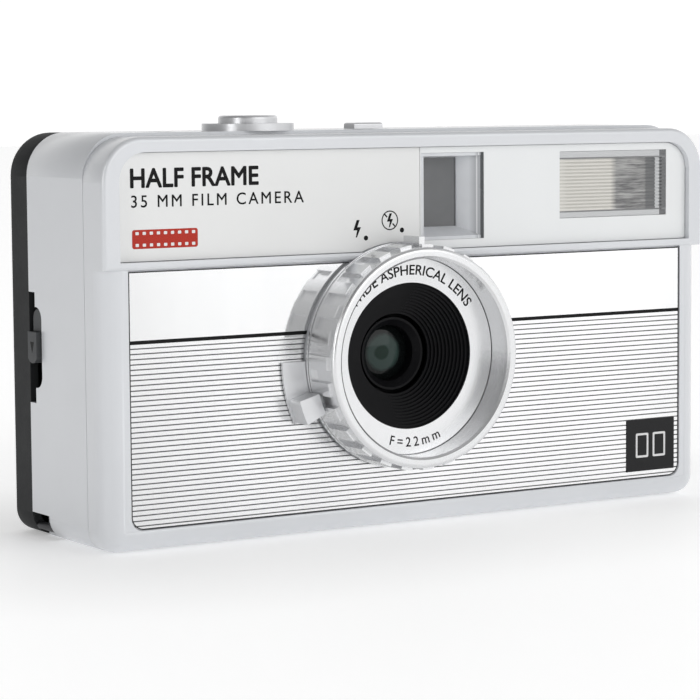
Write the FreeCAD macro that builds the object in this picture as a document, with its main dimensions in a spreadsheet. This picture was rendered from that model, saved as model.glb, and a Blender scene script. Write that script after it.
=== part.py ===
import FreeCAD, Part

import math
import os

import Sketcher

# A compact half frame 35 mm film camera, in millimetres.
# +X is to the right seen from the front, -Y is the front and +Z is up.
# The origin is the middle of its footprint.

FULL_TURN = 360.0

DIMENSIONS = {
    # Outer form
    "body_width": 110.0, "body_height": 61.0, "wall": 1.6,
    "corner_top": 6.5, "corner_bottom": 3.5, "seam_gap": 0.1,
    "front_seam_y": -6.3, "rear_seam_y": 12.2, "back_y": 19.2,
    # Front cover
    "cover_face_y": -12.0, "band_face_y": -12.5, "cover_inner_y": -10.3,
    "band_bottom_z": 41.35, "cover_top_z": 60.5, "cover_bottom_z": 0.2,
    "cover_round": 3.2, "band_round": 0.7, "cover_wall": 2.3,
    # Upper panels
    "panel_half": 52.3, "panel_bottom_z": 42.5, "panel_top_z": 58.3, "panel_corner": 4.2,
    "panel_face_y": -11.5, "panel_seat_y": -10.9, "panel_gap": 0.1,
    "finder_left": 0.2, "finder_right": 12.0, "finder_low": 43.9, "finder_high": 57.3,
    "flash_left": 26.7, "flash_right": 48.3, "flash_low": 46.5, "flash_high": 57.1,
    # Lower metal plate
    "plate_half": 50.85, "plate_bottom_z": 3.5, "plate_top_z": 41.15, "plate_corner": 1.9,
    "plate_face_y": -11.8, "plate_seat_y": -11.3, "plate_hole": 17.3,
    "stripe_low": 30.62, "stripe_high": 31.17, "groove_first_z": 30.0, "groove_pitch": 0.76,
    "groove_count": 35.0, "groove_width": 0.18, "groove_depth": 0.1,
    "badge_left": 40.0, "badge_right": 49.8, "badge_low": 4.8, "badge_high": 13.2, "badge_face_y": -11.92,
    # Lens assembly, all on one axis along Y
    "lens_x": -4.0, "lens_z": 26.6,
    "tube_inner": 12.6, "tube_outer": 14.3, "tube_front_y": -14.2, "tube_back_y": -5.6,
    "boss_radius": 17.15, "boss_y": -11.85, "collar_radius": 17.35, "collar_back_y": -12.55,
    "collar_front_y": -12.85, "nut_radius": 15.1,
    "ring_radius": 17.2, "ring_valley": 16.6, "ring_bezel": 16.75, "ring_bore": 15.1, "ring_lip": 14.38,
    "ring_back_y": -12.95, "ring_lip_y": -14.1, "ring_rib_y": -18.0, "ring_front_y": -19.3,
    "ring_bezel_round": 0.6, "rib_count": 27.0, "tab_angle": 89.3, "tab_half": 1.6, "tab_tip": 18.3,
    "name_outer": 15.0, "name_inner": 11.2, "name_face_y": -14.75, "name_back_y": -14.25,
    "baffle_front": 11.1, "baffle_back": 5.75, "baffle_front_y": -14.25, "baffle_back_y": -9.8,
    "baffle_steps": 12.0, "cell_outer": 5.6, "cell_inner": 4.35, "cell_front_y": -9.6, "cell_back_y": -5.7,
    "cell_flange": 12.4, "glass_radius": 4.25, "front_curve": 11.0, "rear_curve": 14.0,
    "stop_radius": 1.4, "rear_glass": 3.4,
    # Star filter
    "lever_bore": 14.38, "lever_outer": 16.75, "lever_back_y": -11.92, "lever_front_y": -12.42,
    "lever_flange": 21.4, "lever_top_angle": 180.0, "lever_low_angle": 206.0, "lever_knob_angle": 195.5,
    "lever_knob_front_y": -15.4, "lever_knob_inner": 17.5, "lever_travel": 24.0,
    "pin_orbit": 15.8, "pin_angle": 28.0, "pin_radius": 0.45,
    "filter_orbit": 9.5, "filter_angle": 40.0, "filter_swing": 57.8, "filter_front_y": -5.3,
    "filter_back_y": -4.7, "filter_radius": 4.0,
    # Shutter
    "shutter_front_y": -4.4, "shutter_back_y": -3.6, "shutter_left": -18.0, "shutter_right": 9.0,
    "shutter_low": 12.6, "shutter_high": 40.6,
    "blade_x": -13.0, "blade_z": 31.0, "blade_front_y": -3.3, "blade_back_y": -3.1,
    # Film chassis
    "film_y": 13.65, "gate_width": 18.0, "gate_height": 24.0,
    "gate_left": -14.6, "gate_right": 24.9, "gate_low": 7.5, "gate_high": 45.7,
    "chassis_left": -28.2, "chassis_right": 24.9, "chassis_low": 3.6, "chassis_high": 48.0,
    "chassis_front_y": -2.7, "chassis_back_y": 12.0, "chassis_wall": 0.8,
    "cassette_x": 38.6, "cassette_y": 3.4, "cassette_radius": 12.8, "cassette_low": 4.4,
    "cassette_high": 49.0, "takeup_x": -39.8, "takeup_y": 6.6, "takeup_radius": 10.5, "spool_radius": 5.2,
    "sprocket_x": -21.4, "sprocket_y": 7.75, "sprocket_radius": 5.9, "sprocket_tip": 6.9,
    "sprocket_teeth": 8.0, "perforation": 14.2,
    # Film advance and counter
    "wheel_radius": 13.3, "wheel_low": 50.0, "wheel_high": 54.2, "wheel_notches": 48.0,
    "dial_radius": 9.5, "dial_low": 54.8, "dial_high": 55.6, "counter_y": -1.0, "counter_window": 2.4,
    # Controls on top
    "button_x": -24.0, "button_y": -0.5, "button_collar": 7.0, "button_collar_top": 62.1,
    "button_stem": 5.5, "button_bore": 4.6, "button_radius": 4.5, "button_top_z": 63.3,
    "button_floor": 58.2,
    "release_bore": 1.25, "release_depth": 3.0,
    "bulb_x": -4.4, "bulb_y": -2.4, "bulb_length": 5.2, "bulb_width": 3.0, "bulb_top_z": 62.0,
    "bulb_travel": 3.0,
    # Rewind gear in the base
    "well_radius": 8.4, "well_top_z": 3.4, "hub_radius": 8.0, "crank_half": 1.7, "crank_low": 0.25,
    "crank_high": 1.25, "crank_hinge": 5.6, "crank_tip": 6.8,
    "release_x": -21.4, "release_radius": 2.0,
    # Tripod socket
    "tripod_x": -4.0, "tripod_y": 2.0, "tripod_bore": 2.6, "tripod_insert": 4.5, "tripod_depth": 6.0,
    # Battery bay for one AAA cell
    "battery_x": 18.2, "battery_y": 0.5, "battery_bore": 5.6, "battery_cell": 5.2, "battery_top": 47.6,
    "hatch_half": 6.0, "hatch_thick": 1.2,
    # Rear door
    "hinge_x": 54.3, "hinge_y": 12.2, "knuckle": 1.4, "hinge_pin": 0.6, "hinge_relief": 1.6,
    "knuckle_low": 4.5, "knuckle_split_low": 15.0, "knuckle_split_high": 44.0, "knuckle_high": 53.5,
    "door_wall": 1.4, "door_round": 1.6,
    "eyepiece_left": 1.0, "eyepiece_right": 11.0, "eyepiece_low": 46.5, "eyepiece_high": 55.5,
    "eyepiece_back_y": 19.9,
    # Door latch
    "latch_notch_y": 10.2, "latch_notch_low": 20.5, "latch_notch_high": 37.2,
    "latch_y": 9.9, "latch_slot_half": 1.85, "latch_slot_low": 22.8, "latch_slot_high": 35.0,
    "latch_knob_low": 26.6, "latch_knob_high": 31.3, "latch_knob_half": 1.45, "latch_tip_x": -55.7,
}


class Size(float):
    """A number of millimetres that remembers the spreadsheet expression it came from."""

    def __new__(cls, value, text):
        made = float.__new__(cls, value)
        made.text = text
        return made

    def __add__(self, other):
        return Size(float(self) + float(other), "(%s + %s)" % (self.text, text_of(other)))

    def __radd__(self, other):
        return Size(float(other) + float(self), "(%s + %s)" % (text_of(other), self.text))

    def __sub__(self, other):
        return Size(float(self) - float(other), "(%s - %s)" % (self.text, text_of(other)))

    def __rsub__(self, other):
        return Size(float(other) - float(self), "(%s - %s)" % (text_of(other), self.text))

    def __mul__(self, other):
        return Size(float(self) * float(other), "(%s * %s)" % (self.text, text_of(other)))

    def __rmul__(self, other):
        return Size(float(other) * float(self), "(%s * %s)" % (text_of(other), self.text))

    def __truediv__(self, other):
        return Size(float(self) / float(other), "(%s / %s)" % (self.text, text_of(other)))

    def __neg__(self):
        return Size(-float(self), "(0 - %s)" % self.text)


def text_of(value):
    """The expression text of a Size, or the digits of a plain number."""
    return value.text if isinstance(value, Size) else "%.6f" % float(value)


class Dimensions:
    """Reads the driving dimensions by name, and keeps them in the document's spreadsheet."""

    def __init__(self, doc, values):
        self.sheet = doc.addObject("Spreadsheet::Sheet", "Dims")
        for row, (alias, value) in enumerate(values.items(), start=1):
            self.sheet.set("A%d" % row, alias)
            self.sheet.set("B%d" % row, str(value))
            self.sheet.setAlias("B%d" % row, alias)
            setattr(self, alias, Size(value, "Dims." + alias))


doc = FreeCAD.newDocument("half_frame_camera")
D = Dimensions(doc, DIMENSIONS)
doc.recompute()
NODES = {}


# ---------------------------------------------------------------- helpers


def bind(thing, prop, size):
    """Sets a property of an object, by expression when the size comes from the spreadsheet."""
    if isinstance(size, Size):
        thing.setExpression(prop, size.text)
    elif prop.startswith("Placement.Base."):
        setattr(thing.Placement.Base, prop[-1], float(size))
    else:
        setattr(thing, prop, float(size))


def place(thing, x, y, z, rotation=None):
    """Puts an object at a point, with each coordinate bound to the spreadsheet where it can be."""
    thing.Placement = FreeCAD.Placement(
        FreeCAD.Vector(float(x), float(y), float(z)), rotation or FreeCAD.Rotation())
    for axis, value in zip("xyz", (x, y, z)):
        if isinstance(value, Size):
            thing.setExpression("Placement.Base." + axis, value.text)
    return thing


AXIS_TURNS = {
    "x": FreeCAD.Rotation(FreeCAD.Vector(0, 1, 0), 90),
    "y": FreeCAD.Rotation(FreeCAD.Vector(1, 0, 0), -90),
    "z": FreeCAD.Rotation(),
}


def along(axis, centre, low):
    """The start point of something round whose axis is X, Y or Z, from its centre's other two coordinates."""
    a, b = centre
    return {"x": (low, a, b), "y": (a, low, b), "z": (a, b, low)}[axis]


def box(x, y, z, name="block"):
    """A rectangular block between pairs of coordinates."""
    made = doc.addObject("Part::Box", name)
    for prop, (low, high) in zip(("Length", "Width", "Height"), (x, y, z)):
        bind(made, prop, high - low)
    return place(made, x[0], y[0], z[0])


def rod(radius, centre, span, axis="z", name="rod"):
    """A cylinder along an axis, between two coordinates of that axis."""
    made = doc.addObject("Part::Cylinder", name)
    bind(made, "Radius", radius)
    bind(made, "Height", span[1] - span[0])
    return place(made, *along(axis, centre, span[0]), rotation=AXIS_TURNS[axis])


def ball(radius, x, y, z, name="ball"):
    """A sphere."""
    made = doc.addObject("Part::Sphere", name)
    bind(made, "Radius", radius)
    return place(made, x, y, z)


def ring(outer, inner, centre, span, axis="z", name="ring"):
    """A plain tube."""
    bore = rod(inner, centre, (span[0] - 1, span[1] + 1), axis)
    return cut(rod(outer, centre, span, axis), bore, name=name)


def cut(base, *tools, name="cut"):
    """The base with every tool taken away."""
    made = doc.addObject("Part::Cut", name)
    made.Base = base
    made.Tool = tools[0] if len(tools) == 1 else fuse(*tools)
    return made


def fuse(*pieces, name="joined"):
    """Several pieces as one."""
    made = doc.addObject("Part::MultiFuse", name)
    made.Shapes = list(pieces)
    return made


def common(first, second, name="shared"):
    """What two pieces share."""
    made = doc.addObject("Part::MultiCommon", name)
    made.Shapes = [first, second]
    return made


def group(*pieces, name="set"):
    """Separate solids kept as one sub-part."""
    made = doc.addObject("Part::Compound", name)
    made.Links = list(pieces)
    return made


def turn(piece, angle, x, z):
    """Swings a piece about a line along Y through (x, z): anticlockwise seen from the front."""
    turned = FreeCAD.Rotation(FreeCAD.Vector(0, -1, 0), float(angle))
    pivot = FreeCAD.Vector(float(x), 0, float(z))
    moved = doc.addObject("Part::Compound", "turned")
    moved.Links = [piece]
    moved.Placement = FreeCAD.Placement(pivot - turned.multVec(pivot), turned)
    return moved


def rounded(base, radius, pick, name="rounded"):
    """The base with the picked edges rounded."""
    doc.recompute()
    made = doc.addObject("Part::Fillet", name)
    made.Base = base
    edges = [i for i, edge in enumerate(base.Shape.Edges, start=1) if pick(edge)]
    made.Edges = [(i, float(radius), float(radius)) for i in edges]
    return made


def plane_of(body, role):
    """One of a body's own origin planes."""
    return next(f for f in body.Origin.OriginFeatures if f.Role == role)


def sketch_points(body, role, offset, points, name):
    """A closed sketch of straight lines, each corner held by two dimensions."""
    sketch = body.newObject("Sketcher::SketchObject", name)
    sketch.AttachmentSupport = [(plane_of(body, role), "")]
    sketch.MapMode = "FlatFace"
    sketch.AttachmentOffset = FreeCAD.Placement(FreeCAD.Vector(0, 0, float(offset)), FreeCAD.Rotation())
    if isinstance(offset, Size):
        sketch.setExpression("AttachmentOffset.Base.z", offset.text)
    corners = [FreeCAD.Vector(float(u), float(v), 0) for u, v in points]
    count = len(corners)
    for i in range(count):
        sketch.addGeometry(Part.LineSegment(corners[i], corners[(i + 1) % count]), False)
    for i in range(count):
        sketch.addConstraint(Sketcher.Constraint("Coincident", i, 2, (i + 1) % count, 1))
    for i, point in enumerate(points):
        for kind, value in zip(("DistanceX", "DistanceY"), point):
            at = sketch.addConstraint(Sketcher.Constraint(kind, -1, 1, i, 1, float(value)))
            if isinstance(value, Size):
                label = "p%d%s" % (i, kind[-1].lower())
                sketch.renameConstraint(at, label)
                sketch.setExpression("Constraints." + label, value.text)
    return sketch


def rectangle(low_x, high_x, low_z, high_z):
    """The four corners of a rectangle."""
    return [(low_x, low_z), (high_x, low_z), (high_x, high_z), (low_x, high_z)]


def padded(points, span, name):
    """A body: an outline in X and Z, padded between two depths."""
    body = doc.addObject("PartDesign::Body", name)
    sketch = sketch_points(body, "XZ_Plane", -span[0], points, name + "_outline")
    pad = body.newObject("PartDesign::Pad", name + "_pad")
    pad.Profile = sketch
    bind(pad, "Length", span[1] - span[0])
    pad.Reversed = True
    body.Tip = pad
    doc.recompute()
    return body


def pocket(body, points, span, name):
    """A cut through a body's depth between two depths, from an outline in X and Z."""
    before = body.Shape.Volume
    sketch = sketch_points(body, "XZ_Plane", -span[0], points, name + "_outline")
    made = body.newObject("PartDesign::Pocket", name)
    made.Profile = sketch
    bind(made, "Length", span[1] - span[0])
    made.Reversed = False
    body.Tip = made
    doc.recompute()
    if body.Shape.Volume >= before - 1e-6:
        made.Reversed = True
        doc.recompute()
    assert body.Shape.Volume < before - 1e-6, name + " cut nothing"
    return body


def soften(body, radius, pick, name):
    """Rounds the picked edges of a body."""
    chosen = ["Edge%d" % i for i, edge in enumerate(body.Shape.Edges, start=1) if pick(edge)]
    base = body.Tip
    made = body.newObject("PartDesign::Fillet", name)
    made.Base = (base, chosen)
    bind(made, "Radius", radius)
    body.Tip = made
    doc.recompute()
    return body


def revolved(points, name):
    """A body turned about its own Y axis, from an outline of (radius, depth) corners."""
    body = doc.addObject("PartDesign::Body", name)
    sketch = sketch_points(body, "XY_Plane", 0.0, points, name + "_outline")
    made = body.newObject("PartDesign::Revolution", name + "_turned")
    made.Profile = sketch
    made.ReferenceAxis = (sketch, ["V_Axis"])
    made.Angle = FULL_TURN
    body.Tip = made
    doc.recompute()
    return body


def on_lens(body):
    """Moves a turned body onto the lens axis."""
    return place(body, D.lens_x, 0.0, D.lens_z)


def lens_rod(radius, span, name="disc"):
    """A cylinder on the lens axis."""
    return rod(radius, (D.lens_x, D.lens_z), span, "y", name)


def sector(inner, outer, low_angle, high_angle, span, centre=None):
    """Part of a flat ring about a line along Y: degrees anticlockwise from +X, seen from the front."""
    x, z = centre or (D.lens_x, D.lens_z)
    wedge = doc.addObject("Part::Cylinder", "wedge")
    bind(wedge, "Radius", outer)
    bind(wedge, "Height", span[1] - span[0])
    wedge.Angle = float(high_angle) - float(low_angle)
    lay = FreeCAD.Rotation(FreeCAD.Vector(1, 0, 0), 90)
    swing = FreeCAD.Rotation(FreeCAD.Vector(0, -1, 0), float(low_angle))
    place(wedge, x, span[1], z, swing.multiply(lay))
    return cut(wedge, rod(inner, (x, z), (span[0] - 1, span[1] + 1), "y"))


def is_along(axis):
    """Picks straight edges that run along an axis."""
    def test(edge):
        if not isinstance(edge.Curve, (Part.Line, Part.LineSegment)):
            return False
        direction = edge.tangentAt(edge.FirstParameter)
        return abs(getattr(direction, axis)) > 0.999
    return test


def at_depth(y):
    """Picks edges that lie wholly at one depth."""
    return lambda edge: abs(edge.BoundBox.YMin - float(y)) < 1e-4 and edge.BoundBox.YLength < 1e-4


def at_height(z):
    """Picks edges that lie wholly at one height."""
    return lambda edge: abs(edge.BoundBox.ZMin - float(z)) < 1e-4 and edge.BoundBox.ZLength < 1e-4


def spring(radius, wire, pitch, x, y, low, high, name):
    """A coil spring about a line along Z: an eight-sided wire swept along a helix."""
    coil = doc.addObject("Part::Helix", name + "_path")
    bind(coil, "Radius", radius)
    coil.Pitch = float(pitch)
    bind(coil, "Height", high - low)
    place(coil, x, y, low)
    section = doc.addObject("Part::RegularPolygon", name + "_wire")
    section.Polygon = 8
    bind(section, "Circumradius", wire)
    place(section, x + radius, y, low, FreeCAD.Rotation(FreeCAD.Vector(1, 0, 0), 90))
    swept = doc.addObject("Part::Sweep", name)
    swept.Sections = [section]
    swept.Spine = coil
    swept.Solid = True
    swept.Frenet = True
    return swept


def node(label, piece):
    """Names a finished sub-part."""
    piece.Label = label
    NODES[label] = piece
    return piece


def block(half_width, heights, depths, corners, name):
    """A slab as wide as the camera or narrower, with its top and bottom corners rounded."""
    body = padded(rectangle(-half_width, half_width, heights[0], heights[1]), depths, name)
    middle = (float(heights[0]) + float(heights[1])) / 2
    sides = is_along("y")
    if corners[0]:
        soften(body, corners[0], lambda e: sides(e) and e.Vertexes[0].Point.z > middle, name + "_top")
    if corners[1]:
        soften(body, corners[1], lambda e: sides(e) and e.Vertexes[0].Point.z < middle, name + "_foot")
    return body


def spun(piece, angle, x, y):
    """A piece turned about a line along Z through (x, y)."""
    made = doc.addObject("Part::Compound", "spun")
    made.Links = [piece]
    rotation = FreeCAD.Rotation(FreeCAD.Vector(0, 0, 1), float(angle))
    pivot = FreeCAD.Vector(float(x), float(y), 0)
    made.Placement = FreeCAD.Placement(pivot - rotation.multVec(pivot), rotation)
    return made


def polar(orbit, angle, centre=None):
    """A point around the lens axis, or another centre: anticlockwise from +X seen from the front."""
    x, z = centre or (D.lens_x, D.lens_z)
    turned = math.radians(float(angle))
    return float(x) + float(orbit) * math.cos(turned), float(z) + float(orbit) * math.sin(turned)


def link(start, angle, reach, half_width, span):
    """A flat bar in the XZ plane, from a point in a direction: reach is its (near, far) distance."""
    bar = box((start[0] + reach[0], start[0] + reach[1]), span,
              (start[1] - half_width, start[1] + half_width))
    return turn(bar, angle, start[0], start[1])


half = D.body_width / 2

# ---------------------------------------------------------------- front cover

cover_low = block(half, (D.cover_bottom_z, D.band_bottom_z + 4.65),
                  (D.cover_face_y, D.front_seam_y), (None, 3.0), "cover_low")
soften(cover_low, D.cover_round, at_depth(D.cover_face_y), "cover_low_round")
band = block(half, (D.band_bottom_z, D.cover_top_z), (D.band_face_y, D.front_seam_y),
             (D.corner_top, None), "cover_band")
soften(band, D.band_round, at_depth(D.band_face_y), "cover_band_round")
cavity = block(half - D.cover_wall, (D.cover_bottom_z + 1.7, D.cover_top_z - 1.7),
               (D.cover_inner_y, D.front_seam_y + 1.0), (4.6, 1.5), "cover_cavity")
panel_seat = block(D.panel_half, (D.panel_bottom_z, D.panel_top_z), (D.band_face_y - 1.0, D.panel_seat_y),
                   (D.panel_corner, None), "cover_panel_seat")
plate_seat = block(D.plate_half, (D.plate_bottom_z, D.band_bottom_z), (D.band_face_y - 1.0, D.plate_seat_y),
                   (None, D.plate_corner), "cover_plate_seat")
cover_shell = cut(fuse(cover_low, band), cavity, panel_seat, plate_seat)
through = (D.band_face_y - 1.0, D.front_seam_y)
finder_hole = box((D.finder_left - 0.1, D.finder_right + 0.1), through,
                  (D.finder_low - 0.1, D.finder_high + 0.1))
flash_hole = box((D.flash_left + 0.4, D.flash_right - 0.4), through, (D.flash_low + 0.4, D.flash_high - 0.4))
pin_slot = sector(D.pin_orbit - 0.65, D.pin_orbit + 0.65, D.pin_angle - 4.0,
                  D.pin_angle + D.lever_travel + 4.0, through)
node("front_cover", cut(
    fuse(cover_shell, lens_rod(D.boss_radius, (D.boss_y, D.cover_inner_y + 0.1))),
    lens_rod(D.tube_outer + 0.05, through),
    lens_rod(D.boss_radius - 0.15, (D.band_face_y - 1.0, D.boss_y)),
    pin_slot, finder_hole, flash_hole))

# ---------------------------------------------------------------- panels and metal plate


def panel(low_x, high_x, name):
    """One half of the recessed upper panel, cut away around the lens."""
    slab = block(D.panel_half - D.panel_gap, (D.panel_bottom_z + D.panel_gap, D.panel_top_z - D.panel_gap),
                 (D.panel_face_y, D.panel_seat_y - 0.02), (D.panel_corner, None), name)
    keep = box((low_x, high_x), (D.band_face_y, D.cover_inner_y), (D.panel_bottom_z, D.panel_top_z))
    return cut(common(slab, keep), lens_rod(D.plate_hole, through))


node("label_panel", panel(-half, -0.05, "left_panel"))
window_cut = box((D.finder_left, D.finder_right), through, (D.finder_low, D.finder_high))
flash_cut = box((D.flash_left, D.flash_right), through, (D.flash_low, D.flash_high))
node("window_panel", cut(panel(0.05, half, "right_panel"), window_cut, flash_cut))

plate = block(D.plate_half - D.panel_gap, (D.plate_bottom_z + D.panel_gap, D.plate_top_z),
              (D.plate_face_y, D.plate_seat_y - 0.02), (None, D.plate_corner), "plate")
groove_span = (D.plate_face_y, D.plate_face_y + D.groove_depth)
pocket(plate, rectangle(-D.plate_half, D.plate_half, D.groove_first_z - D.groove_width / 2,
                        D.groove_first_z + D.groove_width / 2), groove_span, "groove")
groove = plate.Tip
grooves = plate.newObject("PartDesign::LinearPattern", "grooves")
grooves.Originals = [groove]
grooves.Direction = (plane_of(plate, "Z_Axis"), [""])
grooves.Reversed = True
bind(grooves, "Length", D.groove_pitch * (D.groove_count - 1.0))
grooves.Occurrences = int(D.groove_count)
plate.Tip = grooves
doc.recompute()
stripe_groove = box((-D.plate_half, D.plate_half), (D.plate_face_y - 0.2, D.plate_face_y + 0.1),
                    (D.stripe_low, D.stripe_high))
badge_seat = box((D.badge_left - 0.05, D.badge_right + 0.05), (D.badge_face_y, D.plate_face_y + 0.2),
                 (D.badge_low - 0.05, D.badge_high + 0.05))
node("face_plate", cut(plate, lens_rod(D.plate_hole, through), stripe_groove, badge_seat))
node("badge", box((D.badge_left, D.badge_right), (D.badge_face_y, D.plate_face_y + 0.18),
                  (D.badge_low, D.badge_high)))

# ---------------------------------------------------------------- lens barrel and flash ring

node("lens_barrel", cut(
    fuse(lens_rod(D.tube_outer, (D.tube_front_y, D.tube_back_y)),
         lens_rod(D.collar_radius, (D.collar_front_y, D.collar_back_y))),
    lens_rod(D.tube_inner, (D.tube_front_y - 1.0, D.tube_back_y + 1.0))))
node("barrel_nut", ring(D.nut_radius, D.tube_outer, (D.lens_x, D.lens_z),
                        (D.cover_inner_y + 0.12, D.cover_inner_y + 1.1), "y"))

ring_body = revolved([
    (D.ring_lip, D.ring_back_y), (D.ring_radius, D.ring_back_y), (D.ring_radius, D.ring_rib_y),
    (D.ring_bezel, D.ring_rib_y), (D.ring_bezel, D.ring_front_y),
    (D.ring_bore + 0.35, D.ring_front_y), (D.ring_bore, D.ring_front_y + 0.35),
    (D.ring_bore, D.ring_lip_y), (D.ring_lip, D.ring_lip_y)], "flash_ring_body")
soften(ring_body, D.ring_bezel_round,
       lambda e: at_depth(D.ring_front_y)(e) and e.Curve.Radius > float(D.ring_bezel) - 0.1, "bezel_round")
rib_sketch = sketch_points(ring_body, "XY_Plane", 0.0, [
    (D.ring_valley, D.ring_rib_y), (D.ring_bezel + 1.0, D.ring_rib_y),
    (D.ring_bezel + 1.0, D.ring_back_y - 0.5), (D.ring_valley, D.ring_back_y - 0.5)], "rib_gap_outline")
rib_gap = ring_body.newObject("PartDesign::Pocket", "rib_gap")
rib_gap.Profile = rib_sketch
rib_gap.Midplane = True
rib_gap.Length = 1.9
ribs = ring_body.newObject("PartDesign::PolarPattern", "ribs")
ribs.Originals = [rib_gap]
ribs.Axis = (rib_sketch, ["V_Axis"])
ribs.Angle = FULL_TURN
ribs.Occurrences = int(D.rib_count)
ring_body.Tip = ribs
doc.recompute()
on_lens(ring_body)
tab = sector(D.ring_valley - 0.2, D.tab_tip, D.tab_angle - D.tab_half, D.tab_angle + D.tab_half,
             (D.ring_rib_y + 0.4, D.ring_back_y - 0.4))
node("flash_ring", fuse(ring_body, tab))

node("name_ring", on_lens(revolved([
    (D.name_inner, D.name_face_y + 0.25), (D.name_outer, D.name_face_y), (D.name_outer, D.name_back_y),
    (D.tube_inner - 0.1, D.name_back_y), (D.tube_inner - 0.1, D.name_back_y + 1.6),
    (D.tube_inner - 0.6, D.name_back_y + 1.6), (D.tube_inner - 0.6, D.name_back_y - 0.05),
    (D.name_inner, D.name_back_y - 0.05)], "name_ring_body")))

step_in = (D.baffle_front - D.baffle_back) / D.baffle_steps
step_back = (D.baffle_back_y - D.baffle_front_y) / D.baffle_steps
stairs = []
for i in range(int(D.baffle_steps)):
    stairs.append((D.baffle_front - step_in * float(i), D.baffle_front_y + step_back * float(i)))
    stairs.append((D.baffle_front - step_in * float(i), D.baffle_front_y + step_back * float(i + 1)))
node("light_baffle", on_lens(revolved(stairs + [
    (D.baffle_back + 0.9, D.baffle_back_y), (D.baffle_front + 0.8, D.baffle_front_y + 0.8),
    (D.baffle_front + 0.8, D.baffle_front_y)], "baffle_body")))

node("lens_cell", on_lens(revolved([
    (D.cell_inner, D.cell_front_y + 0.9), (D.cell_inner + 0.9, D.cell_front_y),
    (D.cell_outer, D.cell_front_y), (D.cell_outer, D.cell_back_y - 0.9),
    (D.cell_flange, D.cell_back_y - 0.9), (D.cell_flange, D.cell_back_y),
    (D.cell_inner - 0.7, D.cell_back_y), (D.cell_inner - 0.7, D.cell_back_y - 0.3),
    (D.cell_inner, D.cell_back_y - 0.3)], "cell_body")))
front_vertex = D.cell_back_y - 2.3
node("front_element", common(
    lens_rod(D.glass_radius, (D.cell_front_y, D.cell_back_y - 0.35)),
    ball(D.front_curve, D.lens_x, front_vertex + D.front_curve, D.lens_z)))

# ---------------------------------------------------------------- star filter

lever = fuse(
    ring(D.lever_outer, D.lever_bore, (D.lens_x, D.lens_z), (D.lever_front_y, D.lever_back_y), "y"),
    sector(D.lever_outer - 0.3, D.lever_flange, D.lever_top_angle, D.lever_low_angle,
           (D.lever_front_y, D.lever_back_y)),
    sector(D.lever_knob_inner, D.lever_flange - 0.4, D.lever_knob_angle, D.lever_low_angle,
           (D.lever_knob_front_y, D.lever_front_y + 0.1)),
    rod(D.pin_radius, polar(D.pin_orbit, D.pin_angle), (D.lever_back_y - 0.1, D.filter_back_y + 0.1), "y"))
node("star_lever", lever)

pivot = polar(D.filter_orbit, D.filter_angle)
tail_angle = float(D.filter_angle) - float(D.filter_swing) / 2
parked = float(D.filter_angle) + 180 - float(D.filter_swing)
disc = polar(D.filter_orbit, parked, pivot)
filter_span = (D.filter_front_y, D.filter_back_y)
arm = fuse(
    rod(1.5, pivot, filter_span, "y"), rod(D.filter_radius, disc, filter_span, "y"),
    link(pivot, parked, (0.0, 6.5), 1.2, filter_span), link(pivot, tail_angle, (0.0, 7.9), 1.6, filter_span))
wide = (D.filter_front_y - 1.0, D.filter_back_y + 1.0)
node("filter_arm", cut(
    arm, rod(0.55, pivot, wide, "y"), rod(D.filter_radius - 0.6, disc, wide, "y"),
    link(pivot, tail_angle, (5.2, 9.0), 0.8, wide)))
node("star_filter", rod(D.filter_radius - 0.62, disc, (D.filter_front_y + 0.1, D.filter_back_y - 0.1), "y"))

# ---------------------------------------------------------------- shutter

shutter_span = (D.shutter_front_y, D.shutter_back_y)
shutter_plate = box((D.shutter_left, D.shutter_right), shutter_span, (D.shutter_low, D.shutter_high))
feet = [box((x, x + 2.0), (D.shutter_back_y - 0.1, D.chassis_front_y - 0.02), (z, z + 2.0))
        for x in (D.shutter_left, D.shutter_right - 2.0) for z in (D.shutter_low, D.shutter_high - 2.0)]
node("shutter_plate", cut(
    fuse(shutter_plate, *feet,
         rod(0.5, (D.blade_x, D.blade_z), (D.shutter_back_y - 0.1, D.blade_back_y + 0.15), "y"),
         rod(0.5, pivot, (D.filter_front_y - 0.2, D.shutter_front_y + 0.1), "y")),
    lens_rod(D.stop_radius, (D.shutter_front_y - 0.5, D.shutter_back_y + 0.5))))
blade_span = (D.blade_front_y, D.blade_back_y)
blade_reach = math.hypot(float(D.lens_x - D.blade_x), float(D.lens_z - D.blade_z))
blade_angle = math.degrees(math.atan2(float(D.lens_z - D.blade_z), float(D.lens_x - D.blade_x)))
node("shutter_blade", cut(
    fuse(lens_rod(2.6, blade_span), rod(1.4, (D.blade_x, D.blade_z), blade_span, "y"),
         link((D.blade_x, D.blade_z), blade_angle, (0.0, blade_reach), 0.9, blade_span)),
    rod(0.55, (D.blade_x, D.blade_z), (D.blade_front_y - 1.0, D.blade_back_y + 1.0), "y")))
node("rear_element", common(
    lens_rod(D.rear_glass, (D.chassis_front_y + 0.1, D.chassis_front_y + 1.9)),
    ball(D.rear_curve, D.lens_x, D.chassis_front_y + 1.7 - D.rear_curve, D.lens_z)))

# ---------------------------------------------------------------- film chassis

chassis_z = (D.chassis_low, D.chassis_high)
cassette = (D.cassette_x, D.cassette_y)
takeup = (D.takeup_x, D.takeup_y)
sprocket = (D.sprocket_x, D.sprocket_y)
battery = (D.battery_x, D.battery_y)
outer_cassette = D.cassette_radius + D.chassis_wall
outer_takeup = D.takeup_radius + D.chassis_wall
rear = D.chassis_back_y + 1.0


def trough(centre, radius, heights, back):
    """A round chamber open to the back."""
    return fuse(rod(radius, centre, heights),
                box((centre[0] - radius, centre[0] + radius), (centre[1], back), heights))


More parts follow.
